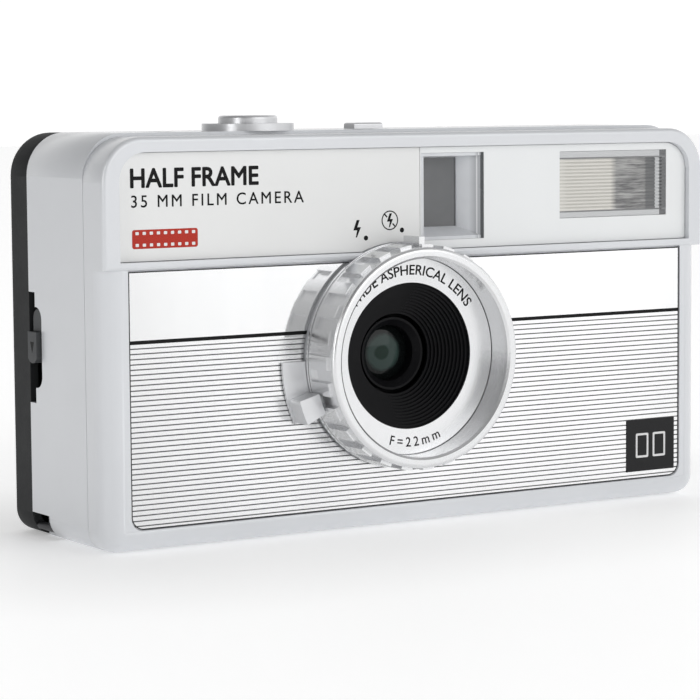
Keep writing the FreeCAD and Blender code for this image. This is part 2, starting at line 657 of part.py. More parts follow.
tunnel = box((D.lens_x - 9.2, D.lens_x + 9.2), (D.chassis_front_y + 0.8, rear),
             (D.lens_z - 13.0, D.lens_z + 13.0))
behind = box((-half, half), (D.chassis_back_y, D.back_y + 1.0), (0.0, D.body_height))
node("chassis", cut(
    fuse(box((D.chassis_left, D.chassis_right), (D.chassis_front_y, D.chassis_back_y), chassis_z),
         trough(takeup, outer_takeup, chassis_z, D.chassis_back_y),
         rod(D.battery_bore + 0.7, battery, chassis_z)),
    trough(takeup, D.takeup_radius, (D.chassis_low + 0.8, D.chassis_high - 0.8), rear),
    trough(sprocket, D.sprocket_tip + 0.3, (D.chassis_low + 0.8, D.chassis_high - 0.8), rear),
    tunnel,
    lens_rod(D.rear_glass + 0.05, (D.chassis_front_y - 1.0, D.chassis_front_y + 1.5)),
    rod(D.battery_bore, battery, (D.chassis_low - 1.0, D.battery_top)),
    rod(D.tripod_insert + 1.3, (D.tripod_x, D.tripod_y), (D.chassis_low - 1.0, D.tripod_depth + 0.2)),
    rod(2.05, takeup, (D.chassis_low + 0.4, D.chassis_high + 1.0)),
    rod(1.55, sprocket, (D.chassis_low - 1.0, D.chassis_high + 1.0)), behind))
node("cartridge_chamber", cut(
    trough(cassette, outer_cassette, (D.chassis_low, D.cassette_high + 0.8), D.chassis_back_y),
    trough(cassette, D.cassette_radius, (D.cassette_low, D.cassette_high), rear),
    rod(2.1, cassette, (D.chassis_low - 1.0, D.cassette_low + 1.0)), behind))
node("film_gate", cut(
    box((D.gate_left, D.gate_right), (D.chassis_back_y + 0.02, D.film_y), (D.gate_low, D.gate_high)),
    box((D.lens_x - D.gate_width / 2, D.lens_x + D.gate_width / 2), (D.chassis_back_y - 1.0, D.film_y + 1.0),
        (D.lens_z - D.gate_height / 2, D.lens_z + D.gate_height / 2)),
    box((D.gate_left - 1.0, D.gate_right + 1.0), (D.film_y - 0.35, D.film_y + 1.0),
        (D.lens_z - 16.6, D.lens_z - 12.6)),
    box((D.gate_left - 1.0, D.gate_right + 1.0), (D.film_y - 0.35, D.film_y + 1.0),
        (D.lens_z + 12.6, D.lens_z + 16.6))))

# ---------------------------------------------------------------- middle body shell

shell_y = (D.front_seam_y + D.seam_gap, D.rear_seam_y)
shell_z = (0.0, D.body_height)
hinge = (D.hinge_x, D.hinge_y)
shell = cut(
    block(half, shell_z, shell_y, (D.corner_top, D.corner_bottom), "shell_out"),
    block(half - D.wall, (D.wall, D.body_height - D.wall), (D.front_seam_y - 1.0, D.rear_seam_y + 1.0),
          (D.corner_top - D.wall, D.corner_bottom - D.wall), "shell_in"))
strap_pocket = box((-half + 1.4, -half + 3.4), (D.latch_y - 4.6, D.rear_seam_y), (1.0, 5.4))
latch_box = box((-half + D.wall - 0.1, -half + D.wall + 1.85), (D.latch_y - 2.9, D.rear_seam_y),
                (D.latch_slot_low - 7.4, D.latch_slot_high + 4.0))
latch_room = box((-half + D.wall, -half + D.wall + 2.5), (D.latch_y - 2.1, D.rear_seam_y + 1.0),
                 (D.latch_slot_low - 6.8, D.latch_slot_high + 3.4))
strap_x = -half + 1.3
strap_z = 1.7
button_at = (D.button_x, D.button_y)
release_at = (D.release_x, D.sprocket_y)
tripod_at = (D.tripod_x, D.tripod_y)
counter_at = (D.takeup_x, D.counter_y)
bulb_at = (D.bulb_x, D.bulb_y)
over = (D.body_height - 2.5, D.body_height + 1.0)
under = (-1.0, D.wall + 1.0)
base_screws = [(-46.0, -1.0), (-34.0, -1.0), (20.0, 9.5), (5.0, -3.5)]
bulb_slot = box((D.bulb_x - D.bulb_length / 2 + 0.9, D.bulb_x + D.bulb_length / 2 - 0.9 + D.bulb_travel),
                (D.bulb_y - 0.7, D.bulb_y + 0.7), over)
slot_x = (-half - 1.0, -half + D.wall + 1.0)
latch_notch = box(slot_x, (D.latch_notch_y, D.rear_seam_y + 1.0), (D.latch_notch_low, D.latch_notch_high))
slot_ends = (D.latch_slot_low + D.latch_slot_half, D.latch_slot_high - D.latch_slot_half)
latch_slot = fuse(
    box(slot_x, (D.latch_y - D.latch_slot_half, D.latch_y + D.latch_slot_half), slot_ends),
    *[rod(D.latch_slot_half, (D.latch_y, z), slot_x, "x") for z in slot_ends])
hub_well = rod(D.well_radius + 0.9, cassette, (D.wall - 0.1, D.well_top_z))
body_shell = cut(
    fuse(shell, strap_pocket, latch_box, hub_well,
         rod(D.tripod_insert + 1.5, tripod_at, (D.wall - 0.1, D.well_top_z))),
    latch_room, latch_notch, latch_slot,
    box((-half - 1.0, -half + 2.7), (D.latch_y - 3.4, D.rear_seam_y + 1.0), (-1.0, 3.8)),
    box((-half, half), (D.rear_seam_y, D.rear_seam_y + 3.0), (0.0, D.body_height)),
    rod(D.hinge_relief, hinge, (-1.0, D.body_height + 1.0)),
    rod(D.well_radius, cassette, (-1.0, D.well_top_z - 0.6)),
    rod(2.1, cassette, (-1.0, D.well_top_z + 1.0)),
    rod(D.tripod_insert, tripod_at, (-1.0, D.well_top_z + 1.0)),
    rod(D.release_radius + 0.06, release_at, under),
    box((D.battery_x - D.hatch_half - 0.2, D.battery_x + D.hatch_half + 0.2),
        (D.battery_y - 6.0, D.battery_y + D.hatch_half + 0.2), under),
    rod(D.button_stem + 0.05, button_at, over),
    rod(D.counter_window, counter_at, over), bulb_slot,
    *[rod(0.95, at, under) for at in base_screws])
knuckle_z = (D.knuckle_split_low, D.knuckle_split_high)
body_knuckle = fuse(rod(D.knuckle, hinge, knuckle_z),
                    box((D.hinge_x - 1.4, D.hinge_x + 0.6), (D.hinge_y - 2.4, D.hinge_y - 0.4), knuckle_z))
node("mid_body", cut(
    fuse(body_shell, body_knuckle, rod(0.8, takeup, (D.wheel_high + 0.5, D.body_height - D.wall + 0.1))),
    rod(0.62, (strap_x, strap_z), (D.latch_y - 4.1, D.rear_seam_y), "y"),
    rod(D.hinge_pin + 0.02, hinge, (D.knuckle_low, D.knuckle_high))))

# ---------------------------------------------------------------- rear door

door_y = (D.rear_seam_y + D.seam_gap, D.back_y)
door_outer = block(half - 0.1, (0.1, D.body_height - 0.1), door_y, (D.corner_top, D.corner_bottom),
                   "door_out")
soften(door_outer, D.door_round, at_depth(D.back_y), "door_out_round")
door_inner = block(half - D.door_wall, (D.door_wall + 0.1, D.body_height - D.door_wall - 0.1),
                   (D.rear_seam_y - 1.0, D.back_y - D.door_wall), (5.0, 2.2), "door_in")
wheel_slot = box((D.takeup_x - 9.6, D.takeup_x + 9.6), (D.rear_seam_y - 1.0, D.back_y + 1.0),
                 (D.wheel_low - 0.4, D.wheel_high + 0.4))
eye_hole = box((D.eyepiece_left + 0.6, D.eyepiece_right - 0.6), (D.rear_seam_y, D.back_y + 1.0),
               (D.eyepiece_low + 0.6, D.eyepiece_high - 0.6))
film_hole = box((37.0, 41.0), (D.rear_seam_y, D.back_y + 1.0), (17.0, 35.0))
spans = [(D.knuckle_low, D.knuckle_split_low - 0.1), (D.knuckle_split_high + 0.1, D.knuckle_high)]
door_knuckles = [fuse(rod(D.knuckle, hinge, z), box((D.hinge_x - 1.0, D.hinge_x + 0.6),
                                                    (D.hinge_y + 0.4, D.hinge_y + 2.2), z)) for z in spans]
hook = fuse(
    box((-half + 2.9, -half + 3.7), (D.rear_seam_y - 2.0, D.back_y - 1.0), (31.6, 35.0)),
    box((-half + 1.3, -half + 3.7), (D.back_y - 1.6, D.back_y - 1.0), (31.6, 35.0)))
bore = rod(D.hinge_pin + 0.02, hinge, (D.knuckle_low - 1.0, D.knuckle_high + 1.0))
node("back_door", cut(
    fuse(cut(door_outer, door_inner, rod(D.hinge_relief, hinge, (-1.0, D.body_height + 1.0))),
         *door_knuckles, hook),
    bore, wheel_slot, eye_hole, film_hole))
node("hinge_pin", rod(D.hinge_pin, hinge, (D.knuckle_low + 0.2, D.knuckle_high - 0.2)))
grip = block(8.0, (8.0, 40.0), (D.back_y + 0.02, D.eyepiece_back_y - 0.2), (3.0, 3.0), "grip_pad")
soften(grip, 0.35, at_depth(D.eyepiece_back_y - 0.2), "grip_round")
node("thumb_rest", place(grip, -39.0, 0.0, 0.0))
eye_block = block((D.eyepiece_right - D.eyepiece_left) / 2 + 1.2,
                  (D.eyepiece_low - 1.2, D.eyepiece_high + 1.2),
                  (D.back_y + 0.02, D.eyepiece_back_y), (1.5, 1.5), "eye_block")
soften(eye_block, 0.4, at_depth(D.eyepiece_back_y), "eye_round")
eye_x = (D.eyepiece_left + D.eyepiece_right) / 2
eye_opening = box((D.eyepiece_left + 1.2, D.eyepiece_right - 1.2), (D.back_y - 1.0, D.eyepiece_back_y + 1.0),
                  (D.eyepiece_low + 1.2, D.eyepiece_high - 1.2))
node("eyepiece_frame", cut(place(eye_block, eye_x, 0.0, 0.0), eye_opening))
node("door_windows", group(
    box((D.eyepiece_left + 1.22, D.eyepiece_right - 1.22), (D.back_y + 0.05, D.back_y + 0.5),
        (D.eyepiece_low + 1.22, D.eyepiece_high - 1.22)),
    box((37.02, 40.98), (D.back_y - 1.1, D.back_y - 0.1), (17.02, 34.98))))
plate_y = (D.film_y + 0.3, D.film_y + 1.1)
node("pressure_plate", block(14.5, (D.gate_low + 1.5, D.gate_high - 1.5), plate_y, (2.0, 2.0), "pressure"))
leaf_y = (D.film_y + 1.35, D.back_y - D.door_wall - 0.02)
node("pressure_spring", group(*[fuse(
    box((-8.0, 8.0), (leaf_y[1] - 0.25, leaf_y[1]), (z, z + 3.0)),
    box((-8.0, -7.0), leaf_y, (z, z + 3.0)), box((7.0, 8.0), leaf_y, (z, z + 3.0))) for z in (14.0, 36.0)]))
seal_x = (-half + 8.0, half - 9.0)
seal_y = (D.back_y - 4.9, D.back_y - D.door_wall - 0.02)
node("light_seals", group(
    box(seal_x, seal_y, (D.body_height - 3.0, D.body_height - 1.7)), box(seal_x, seal_y, (1.7, 3.0))))

# ---------------------------------------------------------------- door latch and strap bar

latch_y = (D.latch_y - 1.9, D.latch_y + 1.7)
knob_y = (D.latch_y - D.latch_knob_half, D.latch_y + D.latch_knob_half)
wall_x = -half + D.wall
thumb_top = D.latch_slot_high - 0.35 - D.latch_knob_half
knob = fuse(
    box((D.latch_tip_x, wall_x + 0.4), knob_y, (D.latch_knob_low + 1.6, D.latch_knob_high)),
    common(box((D.latch_tip_x, wall_x + 0.4), knob_y, (D.latch_knob_low, D.latch_knob_low + 1.7)),
           rod(D.latch_knob_half * 1.25, (D.latch_y, D.latch_knob_low + 1.8),
               (D.latch_tip_x, wall_x + 0.5), "x")))
node("latch_knob", knob)
node("latch_slide", fuse(
    box((wall_x + 0.42, wall_x + 1.0), latch_y, (D.latch_knob_low - 2.4, D.latch_slot_high + 0.8)),
    box((-half + 0.3, wall_x + 0.5), knob_y, (D.latch_knob_high + 0.05, thumb_top)),
    rod(D.latch_knob_half, (D.latch_y, thumb_top), (-half + 0.3, wall_x + 0.5), "x")))
node("latch_spring", spring(0.55, 0.15, 0.9, wall_x + 0.85, D.latch_y, D.latch_slot_low - 6.6,
                            D.latch_knob_low - 2.6, "latch_coil"))
node("strap_bar", rod(0.6, (strap_x, strap_z), (D.latch_y - 4.0, D.rear_seam_y - 0.1), "y"))

# ---------------------------------------------------------------- film transport

wheel = cut(rod(D.wheel_radius, takeup, (D.wheel_low, D.wheel_high)),
            rod(2.0, takeup, (D.wheel_low - 1.0, D.wheel_high + 1.0)))
notch = [spun(box((D.takeup_x + D.wheel_radius - 0.35, D.takeup_x + D.wheel_radius + 1.0),
                  (D.takeup_y - 0.35, D.takeup_y + 0.35), (D.wheel_low - 1.0, D.wheel_high + 1.0)),
              FULL_TURN / float(D.wheel_notches) * i, *takeup) for i in range(int(D.wheel_notches))]
node("advance_wheel", cut(wheel, *notch))
node("takeup_spool", cut(
    fuse(rod(D.spool_radius, takeup, (D.chassis_low + 1.2, D.chassis_high - 1.2)),
         rod(2.0, takeup, (D.chassis_low + 1.2, D.wheel_high + 0.4)),
         rod(D.takeup_radius - 0.6, takeup, (D.chassis_low + 1.2, D.chassis_low + 2.2))),
    *[spun(box((D.takeup_x + 2.8, D.takeup_x + 8.0), (D.takeup_y - 0.5, D.takeup_y + 0.5),
               (D.chassis_low + 2.4, D.chassis_high - 4.0)), 60 * i, *takeup) for i in range(6)]))
drum = fuse(
    rod(1.5, sprocket, (D.chassis_low + 0.2, D.chassis_high + 0.5)),
    rod(D.sprocket_radius - 1.5, sprocket, (D.chassis_low + 1.2, D.chassis_high - 1.2)),
    rod(D.sprocket_radius, sprocket, (D.lens_z - D.perforation - 2.4, D.lens_z - D.perforation + 1.6)),
    rod(D.sprocket_radius, sprocket, (D.lens_z + D.perforation - 1.6, D.lens_z + D.perforation + 2.4)))
teeth = [spun(box((D.sprocket_x + D.sprocket_radius - 0.3, D.sprocket_x + D.sprocket_tip),
                  (D.sprocket_y - 0.55, D.sprocket_y + 0.55), (z - 0.9, z + 0.9)),
              FULL_TURN / float(D.sprocket_teeth) * i, *sprocket)
         for i in range(int(D.sprocket_teeth)) for z in (D.lens_z - D.perforation, D.lens_z + D.perforation)]
node("sprocket", fuse(drum, *teeth))
node("counter_dial", cut(rod(D.dial_radius, takeup, (D.dial_low, D.dial_high)),
                         rod(0.82, takeup, (D.dial_low - 1.0, D.dial_high + 1.0))))
node("counter_glass", rod(D.counter_window - 0.02, counter_at, (D.body_height - 0.9, D.body_height - 0.05)))

# ---------------------------------------------------------------- controls on top

node("button_collar", cut(
    fuse(rod(D.button_collar, button_at, (D.body_height, D.button_collar_top)),
         rod(D.button_stem, button_at, (D.button_floor, D.body_height + 0.1))),
    rod(D.button_bore, button_at, (D.button_floor - 1.0, D.button_collar_top + 1.0))))
button = fuse(rod(D.button_radius, button_at, (D.button_floor + 1.4, D.button_top_z)),
              rod(1.6, button_at, (D.button_floor - 1.8, D.button_floor + 1.5)))
button_soft = rounded(button, 0.45, at_height(D.button_top_z), "button_soft")
node("shutter_button", cut(button_soft, rod(D.release_bore, button_at,
                                            (D.button_top_z - D.release_depth, D.button_top_z + 1.0))))
node("button_spring", spring(2.2, 0.2, 0.75, D.button_x, D.button_y, D.button_floor - 1.8,
                             D.button_floor + 1.1, "button_coil"))
bracket_y = (D.button_y - 4.5, D.button_y + 1.0)
bracket_low = D.button_floor - 2.8
node("button_bracket", cut(
    fuse(box((D.button_x - 8.0, D.button_x + 8.0), bracket_y, (bracket_low, bracket_low + 0.7)),
         *[box((x, x + 1.0), bracket_y, (bracket_low, D.body_height - D.wall - 0.02))
           for x in (D.button_x - 8.0, D.button_x + 7.0)]),
    rod(1.7, button_at, (D.button_floor - 4.0, D.button_floor))))
bulb_cap = rounded(
    box((D.bulb_x - D.bulb_length / 2, D.bulb_x + D.bulb_length / 2),
        (D.bulb_y - D.bulb_width / 2, D.bulb_y + D.bulb_width / 2), (D.body_height + 0.06, D.bulb_top_z)),
    0.35, at_height(D.bulb_top_z), "bulb_soft")
node("bulb_slider", fuse(
    bulb_cap,
    box((D.bulb_x - 1.4, D.bulb_x + 1.4), (D.bulb_y - 0.6, D.bulb_y + 0.6),
        (D.body_height - D.wall - 0.7, D.body_height + 0.2)),
    box((D.bulb_x - 2.4, D.bulb_x + 2.4), (D.bulb_y - 1.4, D.bulb_y + 1.4),
        (D.body_height - D.wall - 0.8, D.body_height - D.wall - 0.06))))

# ---------------------------------------------------------------- base: rewind crank, release, tripod, screws

trench = box((D.cassette_x - D.hub_radius - 1.0, D.cassette_x + D.hub_radius + 1.0),
             (D.cassette_y - D.crank_half - 0.1, D.cassette_y + D.crank_half + 0.1),
             (D.crank_low - 1.0, D.crank_high + 0.1))
node("rewind_hub", fuse(
    cut(rod(D.hub_radius, cassette, (D.crank_low, D.well_top_z - 0.8)), trench),
    rod(2.0, cassette, (D.well_top_z - 0.9, D.cassette_low + 1.0)),
    box((D.cassette_x - 1.9, D.cassette_x + 1.9), (D.cassette_y - 0.4, D.cassette_y + 0.4),
        (D.cassette_low + 0.9, D.cassette_low + 5.0))))
crank_z = (D.crank_low + D.crank_high) / 2
crank_y = (D.cassette_y - D.crank_half, D.cassette_y + D.crank_half)
node("rewind_crank", fuse(
    box((D.cassette_x - D.crank_tip, D.cassette_x + D.crank_hinge), crank_y, (D.crank_low, D.crank_high)),
    rod((D.crank_high - D.crank_low) / 2, (D.cassette_x + D.crank_hinge, crank_z), crank_y, "y")))
node("rewind_release", fuse(
    rod(D.release_radius, release_at, (0.15, D.wall + 0.3)),
    rod(D.release_radius + 0.7, release_at, (D.wall + 0.1, D.wall + 0.7))))
node("tripod_nut", cut(
    fuse(rod(D.tripod_insert - 0.02, tripod_at, (0.0, D.tripod_depth)),
         rod(D.tripod_insert + 1.2, tripod_at, (D.well_top_z + 0.02, D.well_top_z + 1.2))),
    rod(D.tripod_bore, tripod_at, (-1.0, D.tripod_depth + 1.0))))
node("base_screws", group(*[cut(
    fuse(rod(0.9, at, (0.35, 1.2)), rod(0.6, at, (1.1, 3.5))),
    box((at[0] - 0.7, at[0] + 0.7), (at[1] - 0.12, at[1] + 0.12), (0.0, 0.75)),
    box((at[0] - 0.12, at[0] + 0.12), (at[1] - 0.7, at[1] + 0.7), (0.0, 0.75))) for at in base_screws]))

# ---------------------------------------------------------------- battery bay

hatch_z = (0.15, 0.15 + D.hatch_thick)
hatch_mid = 0.15 + D.hatch_thick / 2
hatch_x = (D.battery_x - D.hatch_half, D.battery_x + D.hatch_half)
hatch_y = D.battery_y - 5.2
node("battery_hatch", fuse(
    box(hatch_x, (hatch_y, D.battery_y + D.hatch_half), hatch_z),
    rod(D.hatch_thick / 2, (hatch_y, hatch_mid), hatch_x, "x")))
node("battery_contact", fuse(
    rod(4.0, battery, (hatch_z[1] + 0.02, hatch_z[1] + 0.3)),
    ring(3.4, 2.6, battery, (hatch_z[1] + 0.2, hatch_z[1] + 0.9)),
    ring(2.4, 1.2, battery, (hatch_z[1] + 0.2, hatch_z[1] + 1.3))))
cell_low = 2.75
node("battery_cell", fuse(
    rod(D.battery_cell, battery, (cell_low, cell_low + 43.2)),
    rod(1.9, battery, (cell_low + 43.1, cell_low + 44.3))))

# ---------------------------------------------------------------- viewfinder


def funnel(wide_x, wide_z, narrow_x, narrow_z, depths):
    """A rectangular frustum along Y, from its front opening to its rear opening."""
    made = doc.addObject("Part::Wedge", "funnel")
    values = {"Xmin": wide_x[0], "Xmax": wide_x[1], "Zmin": wide_z[0], "Zmax": wide_z[1],
              "X2min": narrow_x[0], "X2max": narrow_x[1], "Z2min": narrow_z[0], "Z2max": narrow_z[1],
              "Ymin": depths[0], "Ymax": depths[1]}
    for prop, size in values.items():
        bind(made, prop, size)
    return made


funnel_back_y = D.panel_seat_y + 2.5
throat_x = (D.finder_left + 1.7, D.finder_right - 3.1)
throat_z = (D.finder_low + 1.9, D.finder_high - 0.8)
node("finder_funnel", cut(
    box((D.finder_left + 0.03, D.finder_right - 0.03), (D.panel_face_y + 0.05, funnel_back_y + 1.9),
        (D.finder_low + 0.03, D.finder_high - 0.03)),
    funnel((D.finder_left + 0.5, D.finder_right - 0.5), (D.finder_low + 0.5, D.finder_high - 0.5),
           throat_x, throat_z, (D.panel_face_y, funnel_back_y)),
    box(throat_x, (funnel_back_y - 0.1, funnel_back_y + 3.0), throat_z)))
tube_x = (D.eyepiece_left + 0.4, D.eyepiece_right - 0.2)
tube_z = (D.chassis_high + 0.02, D.eyepiece_high + 0.9)
tube_y = (funnel_back_y + 2.0, D.chassis_back_y)
node("finder_tube", cut(
    box(tube_x, tube_y, tube_z),
    box((tube_x[0] + 0.8, tube_x[1] - 0.8), (tube_y[0] - 1.0, tube_y[1] + 1.0),
        (tube_z[0] + 0.8, tube_z[1] - 0.8))))
node("finder_lenses", group(
    box((throat_x[0] + 0.02, throat_x[1] - 0.02), (funnel_back_y + 0.3, funnel_back_y + 1.3),
        (throat_z[0] + 0.02, throat_z[1] - 0.02)),
    box((tube_x[0] + 0.82, tube_x[1] - 0.82), (tube_y[1] - 1.6, tube_y[1] - 0.4),
        (tube_z[0] + 0.82, tube_z[1] - 0.82))))

# ---------------------------------------------------------------- flash unit

diffuser_y = (D.panel_face_y + 0.1, D.cover_inner_y - 0.02)
flash_x = (D.flash_left + 0.05, D.flash_right - 0.05)
rib_pitch = 0.55
node("flash_diffuser", cut(
    fuse(box(flash_x, (diffuser_y[0], D.panel_seat_y - 0.02), (D.flash_low + 0.05, D.flash_high - 0.05)),
         box((D.flash_left + 0.45, D.flash_right - 0.45), (diffuser_y[0] + 0.1, diffuser_y[1]),
             (D.flash_low + 0.45, D.flash_high - 0.45))),
    *[box((D.flash_left + 1.2, D.flash_right - 0.9), (diffuser_y[0] - 0.5, diffuser_y[0] + 0.15),
          (D.flash_low + 0.9 + rib_pitch * i, D.flash_low + 1.15 + rib_pitch * i)) for i in range(16)]))
lamp_z = (D.cassette_high + 1.2, D.flash_high - 0.5)
lamp_y = (D.cover_inner_y + 0.05, D.cover_inner_y + 5.2)
lamp_x = (D.flash_left + 1.1, D.flash_right - 1.1)
lamp_mid = (lamp_z[0] + lamp_z[1]) / 2
node("flash_reflector", cut(
    box(lamp_x, lamp_y, lamp_z),
    box((lamp_x[0] + 0.5, lamp_x[1] - 0.5), (lamp_y[0] - 1.0, lamp_y[0] + 2.4),
        (lamp_z[0] + 0.5, lamp_z[1] - 0.5)),
    rod(2.4, (lamp_y[0] + 2.2, lamp_mid), (lamp_x[0] + 0.5, lamp_x[1] - 0.5), "x")))
node("flash_tube", rod(0.9, (lamp_y[0] + 2.6, lamp_mid), (lamp_x[0] + 0.52, lamp_x[1] - 0.52), "x"))
node("flash_capacitor", rod(4.2, (4.0, D.cassette_high + 5.02), (26.0, 50.0), "x"))
node("circuit_board", box((-19.4, -0.5), (-2.5, 9.5), (D.chassis_high + 0.02, D.chassis_high + 1.0)))

# ---------------------------------------------------------------- write every sub-part

doc.recompute()
for thing in doc.Objects:
    assert "Invalid" not in thing.State and "Error" not in thing.State, thing.Name + " did not build"
os.makedirs("parts", exist_ok=True)
for label, piece in NODES.items():
    assert not piece.Shape.isNull() and piece.Shape.isValid(), label + " is not a valid shape"
    piece.Shape.exportStep("parts/%s.step" % label)
print("%d sub-parts written" % len(NODES))
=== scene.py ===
import math

import bmesh
import bpy
from mathutils import Matrix, Vector


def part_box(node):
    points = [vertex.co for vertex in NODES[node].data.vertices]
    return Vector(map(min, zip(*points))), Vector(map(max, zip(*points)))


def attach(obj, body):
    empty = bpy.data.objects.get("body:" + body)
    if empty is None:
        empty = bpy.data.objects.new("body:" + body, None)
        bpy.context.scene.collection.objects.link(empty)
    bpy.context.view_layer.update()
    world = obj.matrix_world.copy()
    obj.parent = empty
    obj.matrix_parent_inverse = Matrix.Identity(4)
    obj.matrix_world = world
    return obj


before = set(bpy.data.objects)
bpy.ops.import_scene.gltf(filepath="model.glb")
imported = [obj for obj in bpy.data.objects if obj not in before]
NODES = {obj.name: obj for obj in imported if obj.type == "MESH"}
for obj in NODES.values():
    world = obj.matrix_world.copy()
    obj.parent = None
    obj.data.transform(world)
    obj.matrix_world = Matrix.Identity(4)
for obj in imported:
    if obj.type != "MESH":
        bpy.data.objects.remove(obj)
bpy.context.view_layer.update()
MM = 0.001
scene = bpy.context.scene


# ------------------------------------------------------------------ camera
FOCAL_LENGTH = 138.74
SENSOR_WIDTH = 36.0
AZIMUTH, ELEVATION, ROLL = (math.radians(angle) for angle in (-32.421, 5.398, -0.416))
EYE = Vector((-0.23117, -0.35515, 0.06624))


def aim_camera():
    """A long lens looking from the left, slightly above the camera's middle."""
    cam = bpy.data.objects.new("view_camera", bpy.data.cameras.new("view_camera"))
    scene.collection.objects.link(cam)
    cam.data.lens = FOCAL_LENGTH
    cam.data.sensor_width = SENSOR_WIDTH
    back = Vector((math.sin(AZIMUTH) * math.cos(ELEVATION),
                   -math.cos(AZIMUTH) * math.cos(ELEVATION), math.sin(ELEVATION)))
    right = (-back).cross(Vector((0, 0, 1))).normalized()
    up = right.cross(-back)
    right, up = (right * math.cos(ROLL) + up * math.sin(ROLL),
                 up * math.cos(ROLL) - right * math.sin(ROLL))
    place = Matrix((right, up, back)).transposed().to_4x4()
    place.translation = EYE
    cam.matrix_world = place
    cam.data.clip_start, cam.data.clip_end = 0.01, 20.0
    scene.camera = cam


aim_camera()


# ------------------------------------------------------------------ node helpers
class Tree:
    """A material's node tree, with short calls for the nodes used here."""

    def __init__(self, name):
        self.material = bpy.data.materials.new(name)
        self.material.use_nodes = True
        self.nodes = self.material.node_tree.nodes
        self.links = self.material.node_tree.links
        self.shader = self.nodes["Principled BSDF"]
        self.where = self.nodes.new("ShaderNodeTexCoord").outputs["Object"]

    def put(self, target, value):
        """Sets a socket, by link or by value."""
        if isinstance(value, bpy.types.NodeSocket):
            self.links.new(value, target)
        else:
            target.default_value = value

    def node(self, kind, inputs=None, **props):
        """Adds a node with its settings, then its sockets, each by link or by value."""
        made = self.nodes.new(kind)
        for key, value in props.items():
            setattr(made, key, value)
        for key, value in (inputs or {}).items():
            self.put(made.inputs[key], value)
        return made

    def maths(self, operation, a, b=0.0):
        return self.node("ShaderNodeMath", {0: a, 1: b}, operation=operation).outputs[0]

    def along(self, *axes):
        """The named coordinates of the shaded point, in metres, as a list."""
        parts = self.node("ShaderNodeSeparateXYZ", {"Vector": self.where})
        return [parts.outputs[axis] for axis in axes]

    def noise(self, scale, detail=3.0, rough=0.55, stretch=(1, 1, 1)):
        """Cloudy noise in the piece's own coordinates, around one half."""
        spot = self.node("ShaderNodeMapping", {"Vector": self.where, "Scale": stretch}).outputs[0]
        return self.node("ShaderNodeTexNoise", {"Vector": spot, "Scale": scale, "Detail": detail,
                                                "Roughness": rough}).outputs["Fac"]

    def span(self, value, low, high, to_low, to_high):
        """Maps one range of a value onto another, held at both ends."""
        return self.node("ShaderNodeMapRange", {"Value": value, "From Min": low, "From Max": high,
                                                "To Min": to_low, "To Max": to_high}).outputs[0]

    def mix(self, amount, first, second):
        """The first colour at an amount of zero, the second at one."""
        made = self.node("ShaderNodeMix", {}, data_type="RGBA")
        self.put(made.inputs[0], amount)
        self.put(made.inputs[6], first)
        self.put(made.inputs[7], second)
        return made.outputs[2]

    def inside(self, value, low, high):
        """One where a value lies between two limits, otherwise zero."""
        return self.maths("MULTIPLY", self.maths("GREATER_THAN", value, low),
                          self.maths("LESS_THAN", value, high))

    def ripple(self, value):
        """A triangle wave: one half at each whole number, zero half way between."""
        return self.maths("ABSOLUTE", self.maths("SUBTRACT", self.maths("FRACT", value), 0.5))

    def cloudy(self, value, first, second):
        """Blends two colours by a noise value."""
        return self.mix(self.span(value, 0.35, 0.65, 0.0, 1.0), first, second)

    def bump(self, height, strength, distance):
        return self.node("ShaderNodeBump",
                         {"Height": height, "Strength": strength, "Distance": distance}).outputs[0]

    def set(self, **values):
        """Sets the surface's sockets by their short names and returns the material."""
        names = {"color": "Base Color", "metallic": "Metallic", "rough": "Roughness", "normal": "Normal",
                 "coat": "Coat Weight", "coat_rough": "Coat Roughness", "specular": "Specular IOR Level",
                 "through": "Transmission Weight", "ior": "IOR", "emission": "Emission Color",
                 "glow": "Emission Strength"}
        for key, value in values.items():
            self.put(self.shader.inputs[names[key]], value)
        return self.material


def rgb(red, green, blue):
    return (red, green, blue, 1.0)


def scaled(color, by):
    """A colour made lighter or darker, never past white."""
    return rgb(*(min(1.0, c * by) for c in color))


def moulded(name, color, rough, grain=0.35, depth=0.00002, speck=4200.0, tint=0.05, metallic=0.0, coat=0.0,
            coat_rough=0.2, specular=0.5):
    """Moulded or painted surface: fine grain, cloudy tone and uneven gloss."""
    t = Tree(name)
    cloud = t.noise(45.0, 4.0)
    fine = t.noise(speck, 2.0)
    rubbed = t.noise(160.0, 6.0, 0.7)
    dark = scaled(color, 1 - tint)
    toned = t.cloudy(cloud, dark, scaled(color, 1 + tint))
    toned = t.mix(t.span(fine, 0.62, 0.78, 0.0, 0.25), toned, dark)
    gloss = t.maths("ADD", t.span(rubbed, 0.3, 0.7, rough - 0.05, rough + 0.05),
                    t.span(fine, 0.3, 0.7, -0.02, 0.02))
    return t.set(color=toned, rough=gloss, metallic=metallic, coat=coat, coat_rough=coat_rough,
                 specular=specular, normal=t.bump(fine, grain, depth))


# ------------------------------------------------------------------ materials
MIRROR_FOOT = 30.35 * MM
LINE_START = 30.38 * MM
LINE_PITCH = 0.76 * MM
REFLECTION_DARK_FROM, REFLECTION_DARK_TO = -50.0 * MM, -34.0 * MM


